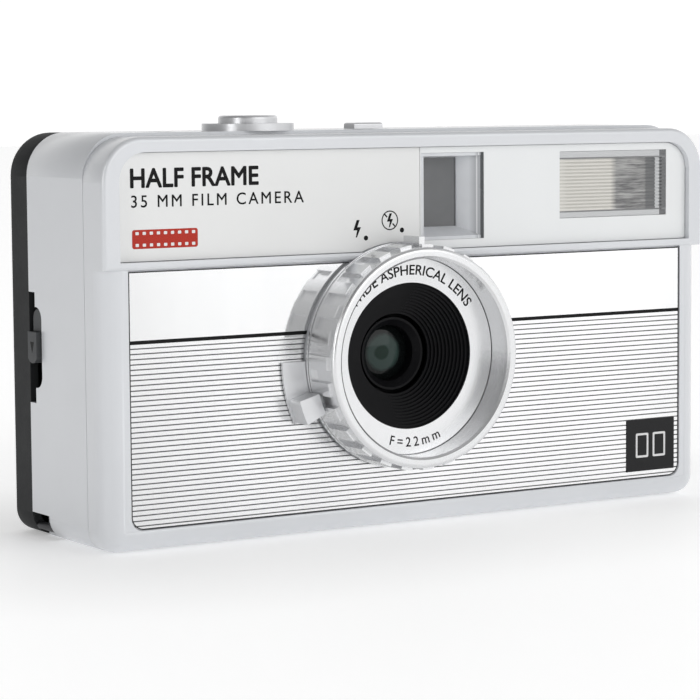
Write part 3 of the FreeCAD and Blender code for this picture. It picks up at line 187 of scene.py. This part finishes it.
def plate_metal():
    """Polished sheet: mirror above, fine engraved dark lines below, with a painted darker reflection at its
    left end.
    """
    t = Tree("plate_metal")
    x, z = t.along("X", "Z")
    step = t.maths("DIVIDE", t.maths("SUBTRACT", LINE_START, z), LINE_PITCH)
    below = t.maths("LESS_THAN", z, MIRROR_FOOT)
    line = t.maths("MULTIPLY", t.span(t.ripple(step), 0.085, 0.15, 1.0, 0.0), below)
    brushed = t.noise(5000.0, 3.0, 0.6, (0.02, 1, 1))
    smear = t.noise(38.0, 5.0, 0.6, (1, 1, 0.25))
    base = t.cloudy(smear, rgb(0.88, 0.885, 0.89), rgb(0.97, 0.972, 0.975))
    # Painted reflection: the base colour darkens towards the left end to stand in for a darker reflection.
    base = t.mix(t.span(x, REFLECTION_DARK_FROM, REFLECTION_DARK_TO, 0.45, 0.0), base, rgb(0.60, 0.605, 0.61))
    color = t.mix(line, base, rgb(0.10, 0.10, 0.105))
    rough = t.maths("ADD", t.span(brushed, 0.3, 0.7, 0.045, 0.08), t.maths("MULTIPLY", below, 0.18))
    metallic = t.span(line, 0.0, 1.0, 0.88, 0.2)
    return t.set(color=color, rough=rough, metallic=metallic, normal=t.bump(brushed, 0.08, 0.00001))


def satin_metal(name, color, rough, metallic=0.82, swing=0.04):
    """Anodised or plated metal with a very fine grain and a faintly cloudy tone."""
    t = Tree(name)
    grain = t.noise(16000.0, 2.0, 0.6)
    cloud = t.noise(70.0, 4.0)
    rubbed = t.noise(210.0, 5.0, 0.65)
    toned = t.cloudy(cloud, scaled(color, 1 - swing), rgb(*color))
    gloss = t.maths("ADD", t.span(rubbed, 0.3, 0.7, rough - 0.008, rough + 0.008),
                    t.span(grain, 0.3, 0.7, -0.01, 0.02))
    return t.set(color=toned, metallic=metallic, rough=gloss, normal=t.bump(grain, 0.10, 0.00001))


def lens_glass():
    """Coated lens glass: near black, with a painted grey-green coating reflection round a dark green pupil
    of painted shade.
    """
    t = Tree("lens_glass")
    x, z = t.along("X", "Z")
    uneven = t.span(t.noise(300.0, 2.0), 0.3, 0.7, -0.2 * MM, 0.2 * MM)

    def away(from_x, from_z):
        """Distance across the glass from a point, slightly uneven."""
        dx = t.maths("SUBTRACT", x, from_x * MM)
        dz = t.maths("SUBTRACT", z, from_z * MM)
        square = t.maths("ADD", t.maths("MULTIPLY", dx, dx), t.maths("MULTIPLY", dz, dz))
        return t.maths("ADD", t.maths("SQRT", square), uneven)

    # Painted light: the dark green pupil is painted shade seen through the glass, and the grey-green ring
    # round it is a painted reflection on the coating.
    pupil_and_reflection = t.mix(t.span(away(-4.9, 26.7), 1.0 * MM, 1.35 * MM, 0.0, 1.0), rgb(0.0005, 0.016, 0.009),
                  rgb(0.030, 0.052, 0.046))
    color = t.mix(t.span(away(-4.5, 26.6), 2.5 * MM, 3.1 * MM, 0.0, 1.0), pupil_and_reflection, rgb(0.004, 0.005, 0.005))
    return t.set(color=color, rough=0.05, coat=0.12, coat_rough=0.03, specular=0.18,
                 normal=t.bump(t.noise(90.0, 1.0), 0.02, 0.00002))


def clear_glass(name, color):
    """Clear window glass with a slight haze."""
    t = Tree(name)
    haze = t.noise(120.0, 4.0)
    tone = t.mix(t.span(haze, 0.3, 0.7, 0.0, 1.0), rgb(*color), scaled(color, 0.93))
    return t.set(color=tone, rough=t.span(haze, 0.3, 0.7, 0.03, 0.06), through=1.0, ior=1.5)


FLASH_RIB = 0.55 * MM
FOIL_FROM, FOIL_TO = 37.0 * MM, 38.2 * MM
SHADE_FROM, SHADE_TO = 43.9 * MM, 44.3 * MM
WINDOW_FOOT, WINDOW_HEAD, WINDOW_RIGHT = 47.55 * MM, 56.0 * MM, 46.1 * MM
FLASH_WALL_SHADE_FROM = 46.95 * MM
EDGE_LINES = ((47.4 * MM, 47.62 * MM), (55.85 * MM, 56.1 * MM))


def flash_lens():
    """Flash window: warm diffuse ribs on the left, clear at the right with a painted reflection of the foil
    behind and painted shade, a bright frame with painted shade beyond its right edge.
    """
    t = Tree("flash_lens")
    x, z = t.along("X", "Z")
    rib = t.ripple(t.maths("DIVIDE", z, FLASH_RIB))
    streak = t.noise(260.0, 4.0, 0.7, (0.35, 1, 4))
    warm = t.mix(t.span(rib, 0.0, 0.5, 0.0, 1.0), rgb(0.60, 0.585, 0.54), rgb(0.82, 0.80, 0.75))
    # Painted reflection: grey streaks stand in for the foil reflector seen through the clear part.
    foil_reflection = t.mix(t.span(streak, 0.38, 0.62, 0.0, 1.0), rgb(0.10, 0.10, 0.105), rgb(0.50, 0.50, 0.49))
    center = t.mix(t.span(x, FOIL_FROM, FOIL_TO, 0.0, 1.0), warm, foil_reflection)
    # Painted shade darkening the window towards its right side.
    center = t.mix(t.span(x, SHADE_FROM, SHADE_TO, 0.0, 0.85), center, rgb(0.12, 0.125, 0.13))
    window = t.maths("MULTIPLY", t.inside(z, WINDOW_FOOT, WINDOW_HEAD),
                     t.maths("LESS_THAN", x, WINDOW_RIGHT))
    # Painted shade: the frame turns dark beyond its right edge.
    frame_and_painted_shade = t.mix(t.maths("GREATER_THAN", x, FLASH_WALL_SHADE_FROM), rgb(0.62, 0.63, 0.64), rgb(0.14, 0.145, 0.15))
    color = t.mix(window, frame_and_painted_shade, center)
    edge = t.maths("ADD", *[t.inside(z, low, high) for low, high in EDGE_LINES])
    color = t.mix(t.maths("MINIMUM", edge, 1.0), color, rgb(0.24, 0.245, 0.25))
    return t.set(color=color, rough=t.span(streak, 0.3, 0.7, 0.10, 0.20), through=0.12, ior=1.49, coat=0.4,
                 coat_rough=0.05, normal=t.bump(rib, 0.6, 0.0002))


WALL_SHADE = (10.2 * MM, 10.9 * MM)
WALL_PAINTED_HIGHLIGHT = (10.95 * MM, 11.1 * MM)
WALL_DARK_FROM = 11.4 * MM


def finder_wall():
    """Light grey moulding of the finder window, with painted shade to the right, a painted highlight line
    and a dark line.
    """
    t = Tree("finder_wall")
    x = t.along("X")[0]
    cloud = t.noise(140.0, 4.0)
    base = t.cloudy(cloud, rgb(0.62, 0.635, 0.66), rgb(0.70, 0.715, 0.74))
    # Painted shade darkening the wall towards the right.
    base = t.mix(t.span(x, *WALL_SHADE, 0.0, 0.6), base, rgb(0.26, 0.27, 0.29))
    # Painted highlight: a thin bright line near the wall's edge.
    base = t.mix(t.inside(x, *WALL_PAINTED_HIGHLIGHT), base, rgb(0.72, 0.73, 0.74))
    color = t.mix(t.maths("GREATER_THAN", x, WALL_DARK_FROM), base, rgb(0.05, 0.055, 0.06))
    return t.set(color=color, rough=t.span(cloud, 0.3, 0.7, 0.25, 0.35),
                 normal=t.bump(t.noise(5000.0), 0.1, 0.00001))


def ink(name, color, rough=0.45):
    """Printed ink: nearly flat, with a fine uneven grain."""
    t = Tree(name)
    grain = t.noise(6000.0, 2.0)
    return t.set(color=t.cloudy(grain, rgb(*color), scaled(color, 0.8)),
                 rough=t.span(grain, 0.3, 0.7, rough - 0.05, rough + 0.08), specular=0.15,
                 normal=t.bump(grain, 0.1, 0.00001))


M = {
    "shell": moulded("shell_silver", (0.685, 0.70, 0.725), 0.34, metallic=0.15, coat=0.6, coat_rough=0.16,
                     tint=0.015, grain=0.15),
    "label": moulded("label_grey", (0.80, 0.805, 0.80), 0.42, tint=0.012, grain=0.2),
    "window": moulded("window_white", (0.82, 0.835, 0.84), 0.22, tint=0.01, coat=0.5, coat_rough=0.08,
                      grain=0.1),
    "finder": finder_wall(),
    "plate": plate_metal(),
    "gloss_black": moulded("gloss_black", (0.006, 0.006, 0.007), 0.22, grain=0.1, coat=0.1, coat_rough=0.1,
                           specular=0.22),
    "silver": satin_metal("silver_satin", (0.78, 0.785, 0.795), 0.25, 0.90, 0.015),
    "silver_plain": satin_metal("silver_plain", (0.70, 0.705, 0.72), 0.30, 0.75),
    "dark_metal": satin_metal("dark_metal", (0.06, 0.06, 0.065), 0.40),
    "black": moulded("black_moulding", (0.004, 0.004, 0.005), 0.50, grain=0.3, specular=0.14),
    "charcoal": moulded("charcoal_grain", (0.016, 0.017, 0.018), 0.60, grain=0.6, depth=0.00004,
                        tint=0.10, specular=0.28),
    "latch": moulded("latch_grey", (0.060, 0.063, 0.066), 0.5, grain=0.4, tint=0.08, specular=0.35),
    "lens": lens_glass(),
    "glass": clear_glass("window_glass", (0.80, 0.84, 0.86)),
    "finder_glass": moulded("finder_glass", (0.10, 0.103, 0.108), 0.12, grain=0.05, tint=0.25, coat=0.6,
                            coat_rough=0.05),
    "flash": flash_lens(),
    "steel": satin_metal("steel", (0.55, 0.55, 0.56), 0.32),
    "brass": satin_metal("brass", (0.72, 0.56, 0.28), 0.30),
    "foam": moulded("foam_black", (0.02, 0.02, 0.02), 0.9, grain=1.0, depth=0.0001, speck=1500.0),
    "wrap": moulded("sleeve_blue", (0.03, 0.05, 0.14), 0.28, coat=0.3),
    "mirror": satin_metal("reflector_foil", (0.93, 0.93, 0.93), 0.10),
    "board": moulded("board_green", (0.02, 0.12, 0.05), 0.35),
    "ink_black": ink("ink_black", (0.004, 0.004, 0.0045)),
    "ink_edge": ink("ink_edge", (0.045, 0.045, 0.048)),
    "ink_red": ink("ink_red", (0.50, 0.040, 0.025)),
    "ink_white": ink("ink_white", (0.80, 0.80, 0.80)),
}

FINISH = {
    "shell": ["front_cover", "mid_body", "battery_hatch"],
    "label": ["label_panel"],
    "finder": ["finder_funnel"],
    "finder_glass": ["finder_lenses"],
    "window": ["window_panel"],
    "plate": ["face_plate"],
    "gloss_black": ["badge", "eyepiece_frame"],
    "silver": ["flash_ring", "name_ring", "lens_barrel"],
    "silver_plain": ["shutter_button", "button_collar", "bulb_slider", "rewind_crank", "star_lever"],
    "dark_metal": ["barrel_nut", "shutter_blade", "film_gate", "pressure_plate", "button_bracket",
                   "strap_bar"],
    "black": ["light_baffle", "lens_cell", "filter_arm", "shutter_plate", "chassis", "cartridge_chamber",
              "takeup_spool", "sprocket", "counter_dial", "rewind_hub", "rewind_release", "finder_tube"],
    "charcoal": ["back_door", "thumb_rest", "advance_wheel"],
    "latch": ["latch_knob", "latch_slide"],
    "lens": ["front_element", "rear_element"],
    "glass": ["door_windows", "star_filter", "counter_glass", "flash_tube"],
    "flash": ["flash_diffuser"],
    "steel": ["hinge_pin", "pressure_spring", "latch_spring", "button_spring", "base_screws"],
    "brass": ["tripod_nut", "battery_contact"],
    "foam": ["light_seals"],
    "wrap": ["battery_cell", "flash_capacitor"],
    "mirror": ["flash_reflector"],
    "board": ["circuit_board"],
}
for finish, names in FINISH.items():
    for name in names:
        mesh = NODES[name].data
        mesh.materials.clear()
        mesh.materials.append(M[finish])
missing = set(NODES) - {n for names in FINISH.values() for n in names}
assert not missing, missing


def soft_edges(name, width):
    """Breaks the sharp edges of a piece so that they catch a thin line of light."""
    weld = NODES[name].modifiers.new("weld", "WELD")
    weld.merge_threshold = 0.001 * MM
    bevel = NODES[name].modifiers.new("soft_edges", "BEVEL")
    bevel.width = width
    bevel.segments = 2
    bevel.limit_method = "ANGLE"
    bevel.angle_limit = math.radians(40)
    bevel.use_clamp_overlap = True


EDGE_WIDTHS = {"front_cover": 0.16, "mid_body": 0.26, "star_lever": 0.12, "back_door": 0.14}
for name, width in EDGE_WIDTHS.items():
    soft_edges(name, width * MM)


# ------------------------------------------------------------------ printed marks
INK_DEPTH = 0.02 * MM
INK_GAP = 0.008 * MM
ARC_GAP = 0.01 * MM
RULE_DEPTH = 0.12 * MM
RULE_SINK = 0.04 * MM
CAPITAL_SHARE = 0.7


def keep(mesh, name, material, body="camera_body"):
    """Makes an object from a mesh, gives it a material and lets it ride on a body."""
    mesh.materials.clear()
    mesh.materials.append(M[material])
    made = bpy.data.objects.new(name, mesh)
    scene.collection.objects.link(made)
    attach(made, body)


def font_mesh(words, height, width=None, bold=0.0):
    """Flat lettering in XY, its left foot at the origin, spaced to fill a width and fattened by bold."""
    curve = bpy.data.curves.new("letters", "FONT")
    curve.body = words
    curve.size = height / CAPITAL_SHARE
    curve.extrude = INK_DEPTH / 2
    curve.resolution_u = 4
    holder = bpy.data.objects.new("letters", curve)
    scene.collection.objects.link(holder)

    def measured(spacing):
        curve.space_character = spacing
        bpy.context.view_layer.update()
        xs = [c[0] for c in holder.bound_box]
        return max(xs) - min(xs)

    if width is not None:
        one, two = measured(1.0), measured(2.0)
        measured(1.0 + (width - one) / (two - one))
    graph = bpy.context.evaluated_depsgraph_get()
    graph.update()
    mesh = bpy.data.meshes.new_from_object(holder.evaluated_get(graph))
    bpy.data.objects.remove(holder)
    low = [min(v.co[i] for v in mesh.vertices) for i in range(2)]
    top = max(v.co[1] for v in mesh.vertices)
    for v in mesh.vertices:
        v.co = ((v.co[0] - low[0]), (v.co[1] - low[1]) * height / (top - low[1]), v.co[2])
    if bold:
        thicken(mesh, bold)
    return mesh


def thicken(mesh, reach):
    """Fattens flat lettering by laying shifted copies of it over itself."""
    bm = bmesh.new()
    for i in range(8):
        first = len(bm.verts)
        bm.from_mesh(mesh)
        bm.verts.ensure_lookup_table()
        angle = math.pi * i / 4
        shift = Vector((reach * math.cos(angle), reach * math.sin(angle), 0.0004 * MM * i))
        for v in bm.verts[first:]:
            v.co += shift
    bm.to_mesh(mesh)
    bm.free()


def on_front(mesh, x, y, z):
    """Stands a flat XY mesh up on a front face at (x, z), its ink just proud of depth y."""
    for v in mesh.vertices:
        v.co = (x + v.co[0], y - v.co[2] - INK_GAP, z + v.co[1])
    return mesh


def on_arc(mesh, centre, radius, start, depth_at):
    """Bends a flat XY mesh round a centre, clockwise from a start angle in degrees, reading outward."""
    for v in mesh.vertices:
        r = radius + v.co[1]
        a = math.radians(start) - v.co[0] / radius
        v.co = (centre[0] + r * math.cos(a), depth_at(r) - v.co[2] - ARC_GAP, centre[1] + r * math.sin(a))
    return mesh


def on_low_arc(mesh, centre, radius, start, depth_at):
    """Bends a flat XY mesh round a centre, anticlockwise from a start angle, reading inward at the foot."""
    for v in mesh.vertices:
        r = radius - v.co[1]
        a = math.radians(start) + v.co[0] / radius
        v.co = (centre[0] + r * math.cos(a), depth_at(r) - v.co[2] - ARC_GAP, centre[1] + r * math.sin(a))
    return mesh


def flat_shape(loops, thick=INK_DEPTH):
    """A flat XY shape from closed loops of points, filled even-odd."""
    curve = bpy.data.curves.new("shape", "CURVE")
    curve.dimensions = "2D"
    curve.fill_mode = "BOTH"
    curve.extrude = thick / 2
    for loop in loops:
        line = curve.splines.new("POLY")
        line.points.add(len(loop) - 1)
        for point, (x, y) in zip(line.points, loop):
            point.co = (x, y, 0, 1)
        line.use_cyclic_u = True
    holder = bpy.data.objects.new("shape", curve)
    scene.collection.objects.link(holder)
    graph = bpy.context.evaluated_depsgraph_get()
    graph.update()
    mesh = bpy.data.meshes.new_from_object(holder.evaluated_get(graph))
    bpy.data.objects.remove(holder)
    return mesh


def circle(radius, count=48):
    """Points round a circle at the origin."""
    turns = [2 * math.pi * i / count for i in range(count)]
    return [(radius * math.cos(turn), radius * math.sin(turn)) for turn in turns]


def rounded_box(x0, x1, y0, y1, r, count=6):
    """Points round a rectangle with rounded corners."""
    points = []
    corners = ((x1 - r, y0 + r, -90), (x1 - r, y1 - r, 0), (x0 + r, y1 - r, 90), (x0 + r, y0 + r, 180))
    for cx, cy, start in corners:
        for i in range(count + 1):
            angle = math.radians(start + 90 * i / count)
            points.append((cx + r * math.cos(angle), cy + r * math.sin(angle)))
    return points


def in_metres(points, scale=1.0):
    """Points in millimetres, scaled and turned to metres."""
    return [(x * scale * MM, y * scale * MM) for x, y in points]


PANEL_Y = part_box("label_panel")[0].y


def on_panel(mesh, x, z, name, ink_name="ink_black"):
    """Prints a mark on the upper panel, its origin at (x, z) in millimetres."""
    keep(on_front(mesh, x * MM, PANEL_Y, z * MM), name, ink_name)


on_panel(font_mesh("HALF FRAME", 2.65 * MM, 21.2 * MM, 0.10 * MM), -49.95, 53.25, "print_title")
on_panel(font_mesh("35 MM FILM CAMERA", 1.75 * MM, 29.0 * MM, 0.02 * MM), -49.9, 50.35, "print_subtitle")

HOLE_PITCH = 1.16
strip = [rounded_box(0, 10.8 * MM, 0, 2.75 * MM, 0.35 * MM)]
for i in range(9):
    left = 0.55 + HOLE_PITCH * i
    for y in (0.3, 2.0):
        strip.append(rounded_box(left * MM, (left + 0.55) * MM, y * MM, (y + 0.45) * MM, 0.1 * MM))
on_panel(flat_shape(strip), -49.85, 44.4, "print_film_mark", "ink_red")

BOLT = [(0.45, 1.25), (-0.05, 1.25), (-0.62, -0.22), (0.02, -0.22), (-0.22, -1.25), (-0.02, -1.25),
        (0.66, 0.22), (0.05, 0.22)]
SLASH = [[(-1.08, 0.92), (-0.92, 1.08), (-0.42, 0.58), (-0.58, 0.42)],
         [(0.42, -0.58), (0.58, -0.42), (1.08, -0.92), (0.92, -1.08)]]
OFF_MARK = (-5.55, 47.2)
DOT = 0.38 * MM
on_panel(flat_shape([in_metres(BOLT, 1.05)]), -11.5, 46.1, "print_bolt_on")
on_panel(flat_shape([circle(DOT)]), -9.9, 44.65, "print_dot_on")
on_panel(flat_shape([circle(1.5 * MM), circle(1.32 * MM)]), *OFF_MARK, "print_ring_off")
on_panel(flat_shape([in_metres(BOLT, 0.85)]), *OFF_MARK, "print_bolt_off")
on_panel(flat_shape([in_metres(part) for part in SLASH]), *OFF_MARK, "print_slash_off")
on_panel(flat_shape([circle(DOT)]), -3.35, 45.65, "print_dot_off")

LENS = (-4.0 * MM, 26.6 * MM)
NAME_OUTER, NAME_WIDTH, NAME_RISE = 15.0 * MM, 3.8 * MM, 0.25 * MM
name_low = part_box("name_ring")[0].y


def name_face(r):
    """Depth of the name ring's sloping face at a radius from the lens axis."""
    return name_low + NAME_RISE * (NAME_OUTER - r) / NAME_WIDTH


lens_name = font_mesh("WIDE ASPHERICAL LENS", 1.5 * MM, 23.4 * MM, 0.03 * MM)
keep(on_arc(lens_name, LENS, 12.4 * MM, 142.5, name_face), "print_lens_name", "ink_black")
focal_length = font_mesh("F=22mm", 1.45 * MM, 9.6 * MM, 0.02 * MM)
keep(on_low_arc(focal_length, LENS, 13.9 * MM, -106.5, name_face), "print_focal_length", "ink_black")

badge_low, badge_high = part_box("badge")
badge_x, badge_z = (badge_low.x + badge_high.x) / 2, (badge_low.z + badge_high.z) / 2
frames = []
for x in (-1.75, 1.75):
    for across, up, round_by in ((1.3, 2.0, 0.25), (0.95, 1.65, 0.12)):
        frames.append(rounded_box((x - across) * MM, (x + across) * MM, -up * MM, up * MM, round_by * MM))
keep(on_front(flat_shape(frames), badge_x, badge_low.y, badge_z), "print_badge_frames", "ink_white")

PLATE_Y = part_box("face_plate")[0].y
RULE_LOW, RULE_HIGH, RULE_END = 30.62, 31.17, 50.75
RULE = [[(-RULE_END, RULE_LOW), (-20.83, RULE_LOW), (-20.69, RULE_HIGH), (-RULE_END, RULE_HIGH)],
        [(12.83, RULE_LOW), (RULE_END, RULE_LOW), (RULE_END, RULE_HIGH), (12.69, RULE_HIGH)]]
keep(on_front(flat_shape([in_metres(part) for part in RULE], RULE_DEPTH), 0.0, PLATE_Y + RULE_SINK, 0.0),
     "print_black_rule", "ink_black")

PLATE_CORNER = 2.0 * MM
EDGE_LINE = 0.17 * MM


def plate_outline(inset):
    """The outline of the face plate, square at the top and rounded at the foot, set in from its edge."""
    low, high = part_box("face_plate")
    x, foot, top = high.x - inset, low.z + inset, high.z - inset
    corner = PLATE_CORNER - inset
    right = [(x - corner + corner * math.sin(math.radians(9 * i)),
              foot + corner - corner * math.cos(math.radians(9 * i))) for i in range(11)]
    return right + [(x, top), (-x, top)] + [(-px, pz) for px, pz in reversed(right)]


keep(on_front(flat_shape([plate_outline(0.0), plate_outline(EDGE_LINE)]), 0.0, PLATE_Y, 0.0),
     "print_plate_edge", "ink_edge")


def on_left(mesh, x, y, z):
    """Stands a flat XY mesh up on a left face at (y, z), its ink just proud of depth x."""
    for v in mesh.vertices:
        v.co = (x - v.co[2] - INK_GAP, y - v.co[0], z + v.co[1])
    return mesh


knob_low, knob_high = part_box("latch_knob")
arrow = in_metres([(-0.62, 0.85), (0.62, 0.85), (0, -0.85)])
keep(on_left(flat_shape([arrow]), knob_low.x, (knob_low.y + knob_high.y) / 2,
             (knob_low.z + knob_high.z) / 2), "print_latch_arrow", "ink_black", "latch")

DIAL = Vector((-39.8 * MM, 6.6 * MM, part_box("counter_dial")[1].z + INK_DEPTH))
DIAL_RADIUS = 8.2 * MM
for i in range(12):
    number = font_mesh(str(i * 6), 1.5 * MM, None, 0.03 * MM)
    wide = max(v.co[0] for v in number.vertices)
    turn = Matrix.Rotation(math.radians(30 * i), 3, "Z")
    for v in number.vertices:
        v.co = turn @ Vector((v.co[0] - wide / 2, v.co[1] - DIAL_RADIUS, v.co[2])) + DIAL
    keep(number, "print_count_%d" % (i * 6), "ink_white", "counter")


def bar(x, y, z, round_by, name, material, body):
    """A small block with rounded edges, between pairs of coordinates in millimetres."""
    bm = bmesh.new()
    size = Vector((x[1] - x[0], y[1] - y[0], z[1] - z[0])) * MM
    middle = Vector((x[0] + x[1], y[0] + y[1], z[0] + z[1])) * MM / 2
    bmesh.ops.create_cube(bm, size=1.0, matrix=Matrix.Translation(middle) @ Matrix.Diagonal((*size, 1.0)))
    bmesh.ops.bevel(bm, geom=bm.edges[:], offset=round_by * MM, segments=3, profile=0.5, affect="EDGES")
    mesh = bpy.data.meshes.new(name)
    bm.to_mesh(mesh)
    bm.free()
    keep(mesh, name, material, body)


RIDGE_ACROSS, RIDGE_DEEP = (-45.5, -32.5), (19.6, 19.88)
RIDGE_START, RIDGE_PITCH, RIDGE_HEIGHT = 11.0, 3.0, 1.3
for i in range(9):
    foot = RIDGE_START + RIDGE_PITCH * i
    bar(RIDGE_ACROSS, RIDGE_DEEP, (foot, foot + RIDGE_HEIGHT), 0.15, "thumb_ridge_%d" % i, "charcoal",
        "back_door")


# ------------------------------------------------------------------ studio
TARGET = (0, 0, 0.03)


def lamp(name, size, power, place):
    """A soft rectangular lamp turned to the camera's middle."""
    data = bpy.data.lights.new(name, "AREA")
    data.shape = "RECTANGLE"
    data.size, data.size_y = size
    data.energy = power
    made = bpy.data.objects.new(name, data)
    scene.collection.objects.link(made)
    made.location = place
    made.rotation_mode = "QUATERNION"
    made.rotation_quaternion = (Vector(TARGET) - Vector(place)).to_track_quat("-Z", "Y")


lamp("key_top", (1.2, 1.2), 0.3, (-0.1, -0.4, 1.3))
lamp("fill_front", (1.4, 0.9), 3.5, (0.4, -1.4, 0.6))
lamp("fill_left", (0.5, 1.1), 4.5, (-1.5, -0.5, 0.35))


def white_room():
    """Surroundings that are white ahead, darker to the left and darker overhead."""
    world = bpy.data.worlds.new("studio")
    scene.world = world
    world.use_nodes = True
    sky = world.node_tree
    parts = sky.nodes.new("ShaderNodeSeparateXYZ")
    sky.links.new(sky.nodes.new("ShaderNodeTexCoord").outputs["Generated"], parts.inputs[0])
    both = sky.nodes.new("ShaderNodeMath")
    both.operation = "MULTIPLY"
    falls = {"X": (-0.70, 0.25, 0.30, 1.0), "Z": (0.25, 0.95, 1.0, 0.34)}
    for target, (axis, values) in zip(both.inputs, falls.items()):
        fall = sky.nodes.new("ShaderNodeMapRange")
        fall.interpolation_type = "SMOOTHSTEP"
        for key, value in zip(("From Min", "From Max", "To Min", "To Max"), values):
            fall.inputs[key].default_value = value
        sky.links.new(parts.outputs[axis], fall.inputs["Value"])
        sky.links.new(fall.outputs[0], target)
    sky.links.new(both.outputs[0], sky.nodes["Background"].inputs["Color"])
    sky.nodes["Background"].inputs["Strength"].default_value = 1.07
    scene.view_settings.view_transform = "Standard"


white_room()


SHADOW_HALF_X, SHADOW_HALF_Y, SHADOW_FADE = 52.0 * MM, 16.0 * MM, 45.0 * MM


def floor_white():
    """White paper with a painted glow, a little stronger away from the camera, so that a painted shadow
    lies round its base and fades to white.
    """
    t = Tree("floor_white")
    x, y = t.along("X", "Y")
    beyond = [t.maths("MAXIMUM", t.maths("SUBTRACT", t.maths("ABSOLUTE", value), reach), 0.0)
              for value, reach in ((x, SHADOW_HALF_X), (y, SHADOW_HALF_Y))]
    away = t.maths("SQRT", t.maths("ADD", *[t.maths("MULTIPLY", d, d) for d in beyond]))
    paper = t.noise(300.0, 3.0)
    tone = t.mix(t.span(paper, 0.3, 0.7, 0.0, 1.0), rgb(0.895, 0.895, 0.895), rgb(0.905, 0.905, 0.905))
    # Painted light: the paper glows though it is no lamp, and the weaker glow near the footprint paints the
    # shadow round the base.
    return t.set(color=tone, rough=t.span(paper, 0.3, 0.7, 0.58, 0.64), emission=rgb(1, 1, 1),
                 glow=t.span(away, 0.0, SHADOW_FADE, 0.31, 0.47), normal=t.bump(paper, 0.05, 0.00002))


def lay_floor():
    """Lays a wide sheet of white paper under the camera."""
    bm = bmesh.new()
    bmesh.ops.create_grid(bm, x_segments=8, y_segments=8, size=3.0)
    mesh = bpy.data.meshes.new("studio_floor")
    bm.to_mesh(mesh)
    bm.free()
    floor = bpy.data.objects.new("studio_floor", mesh)
    scene.collection.objects.link(floor)
    floor.data.materials.append(floor_white())


lay_floor()
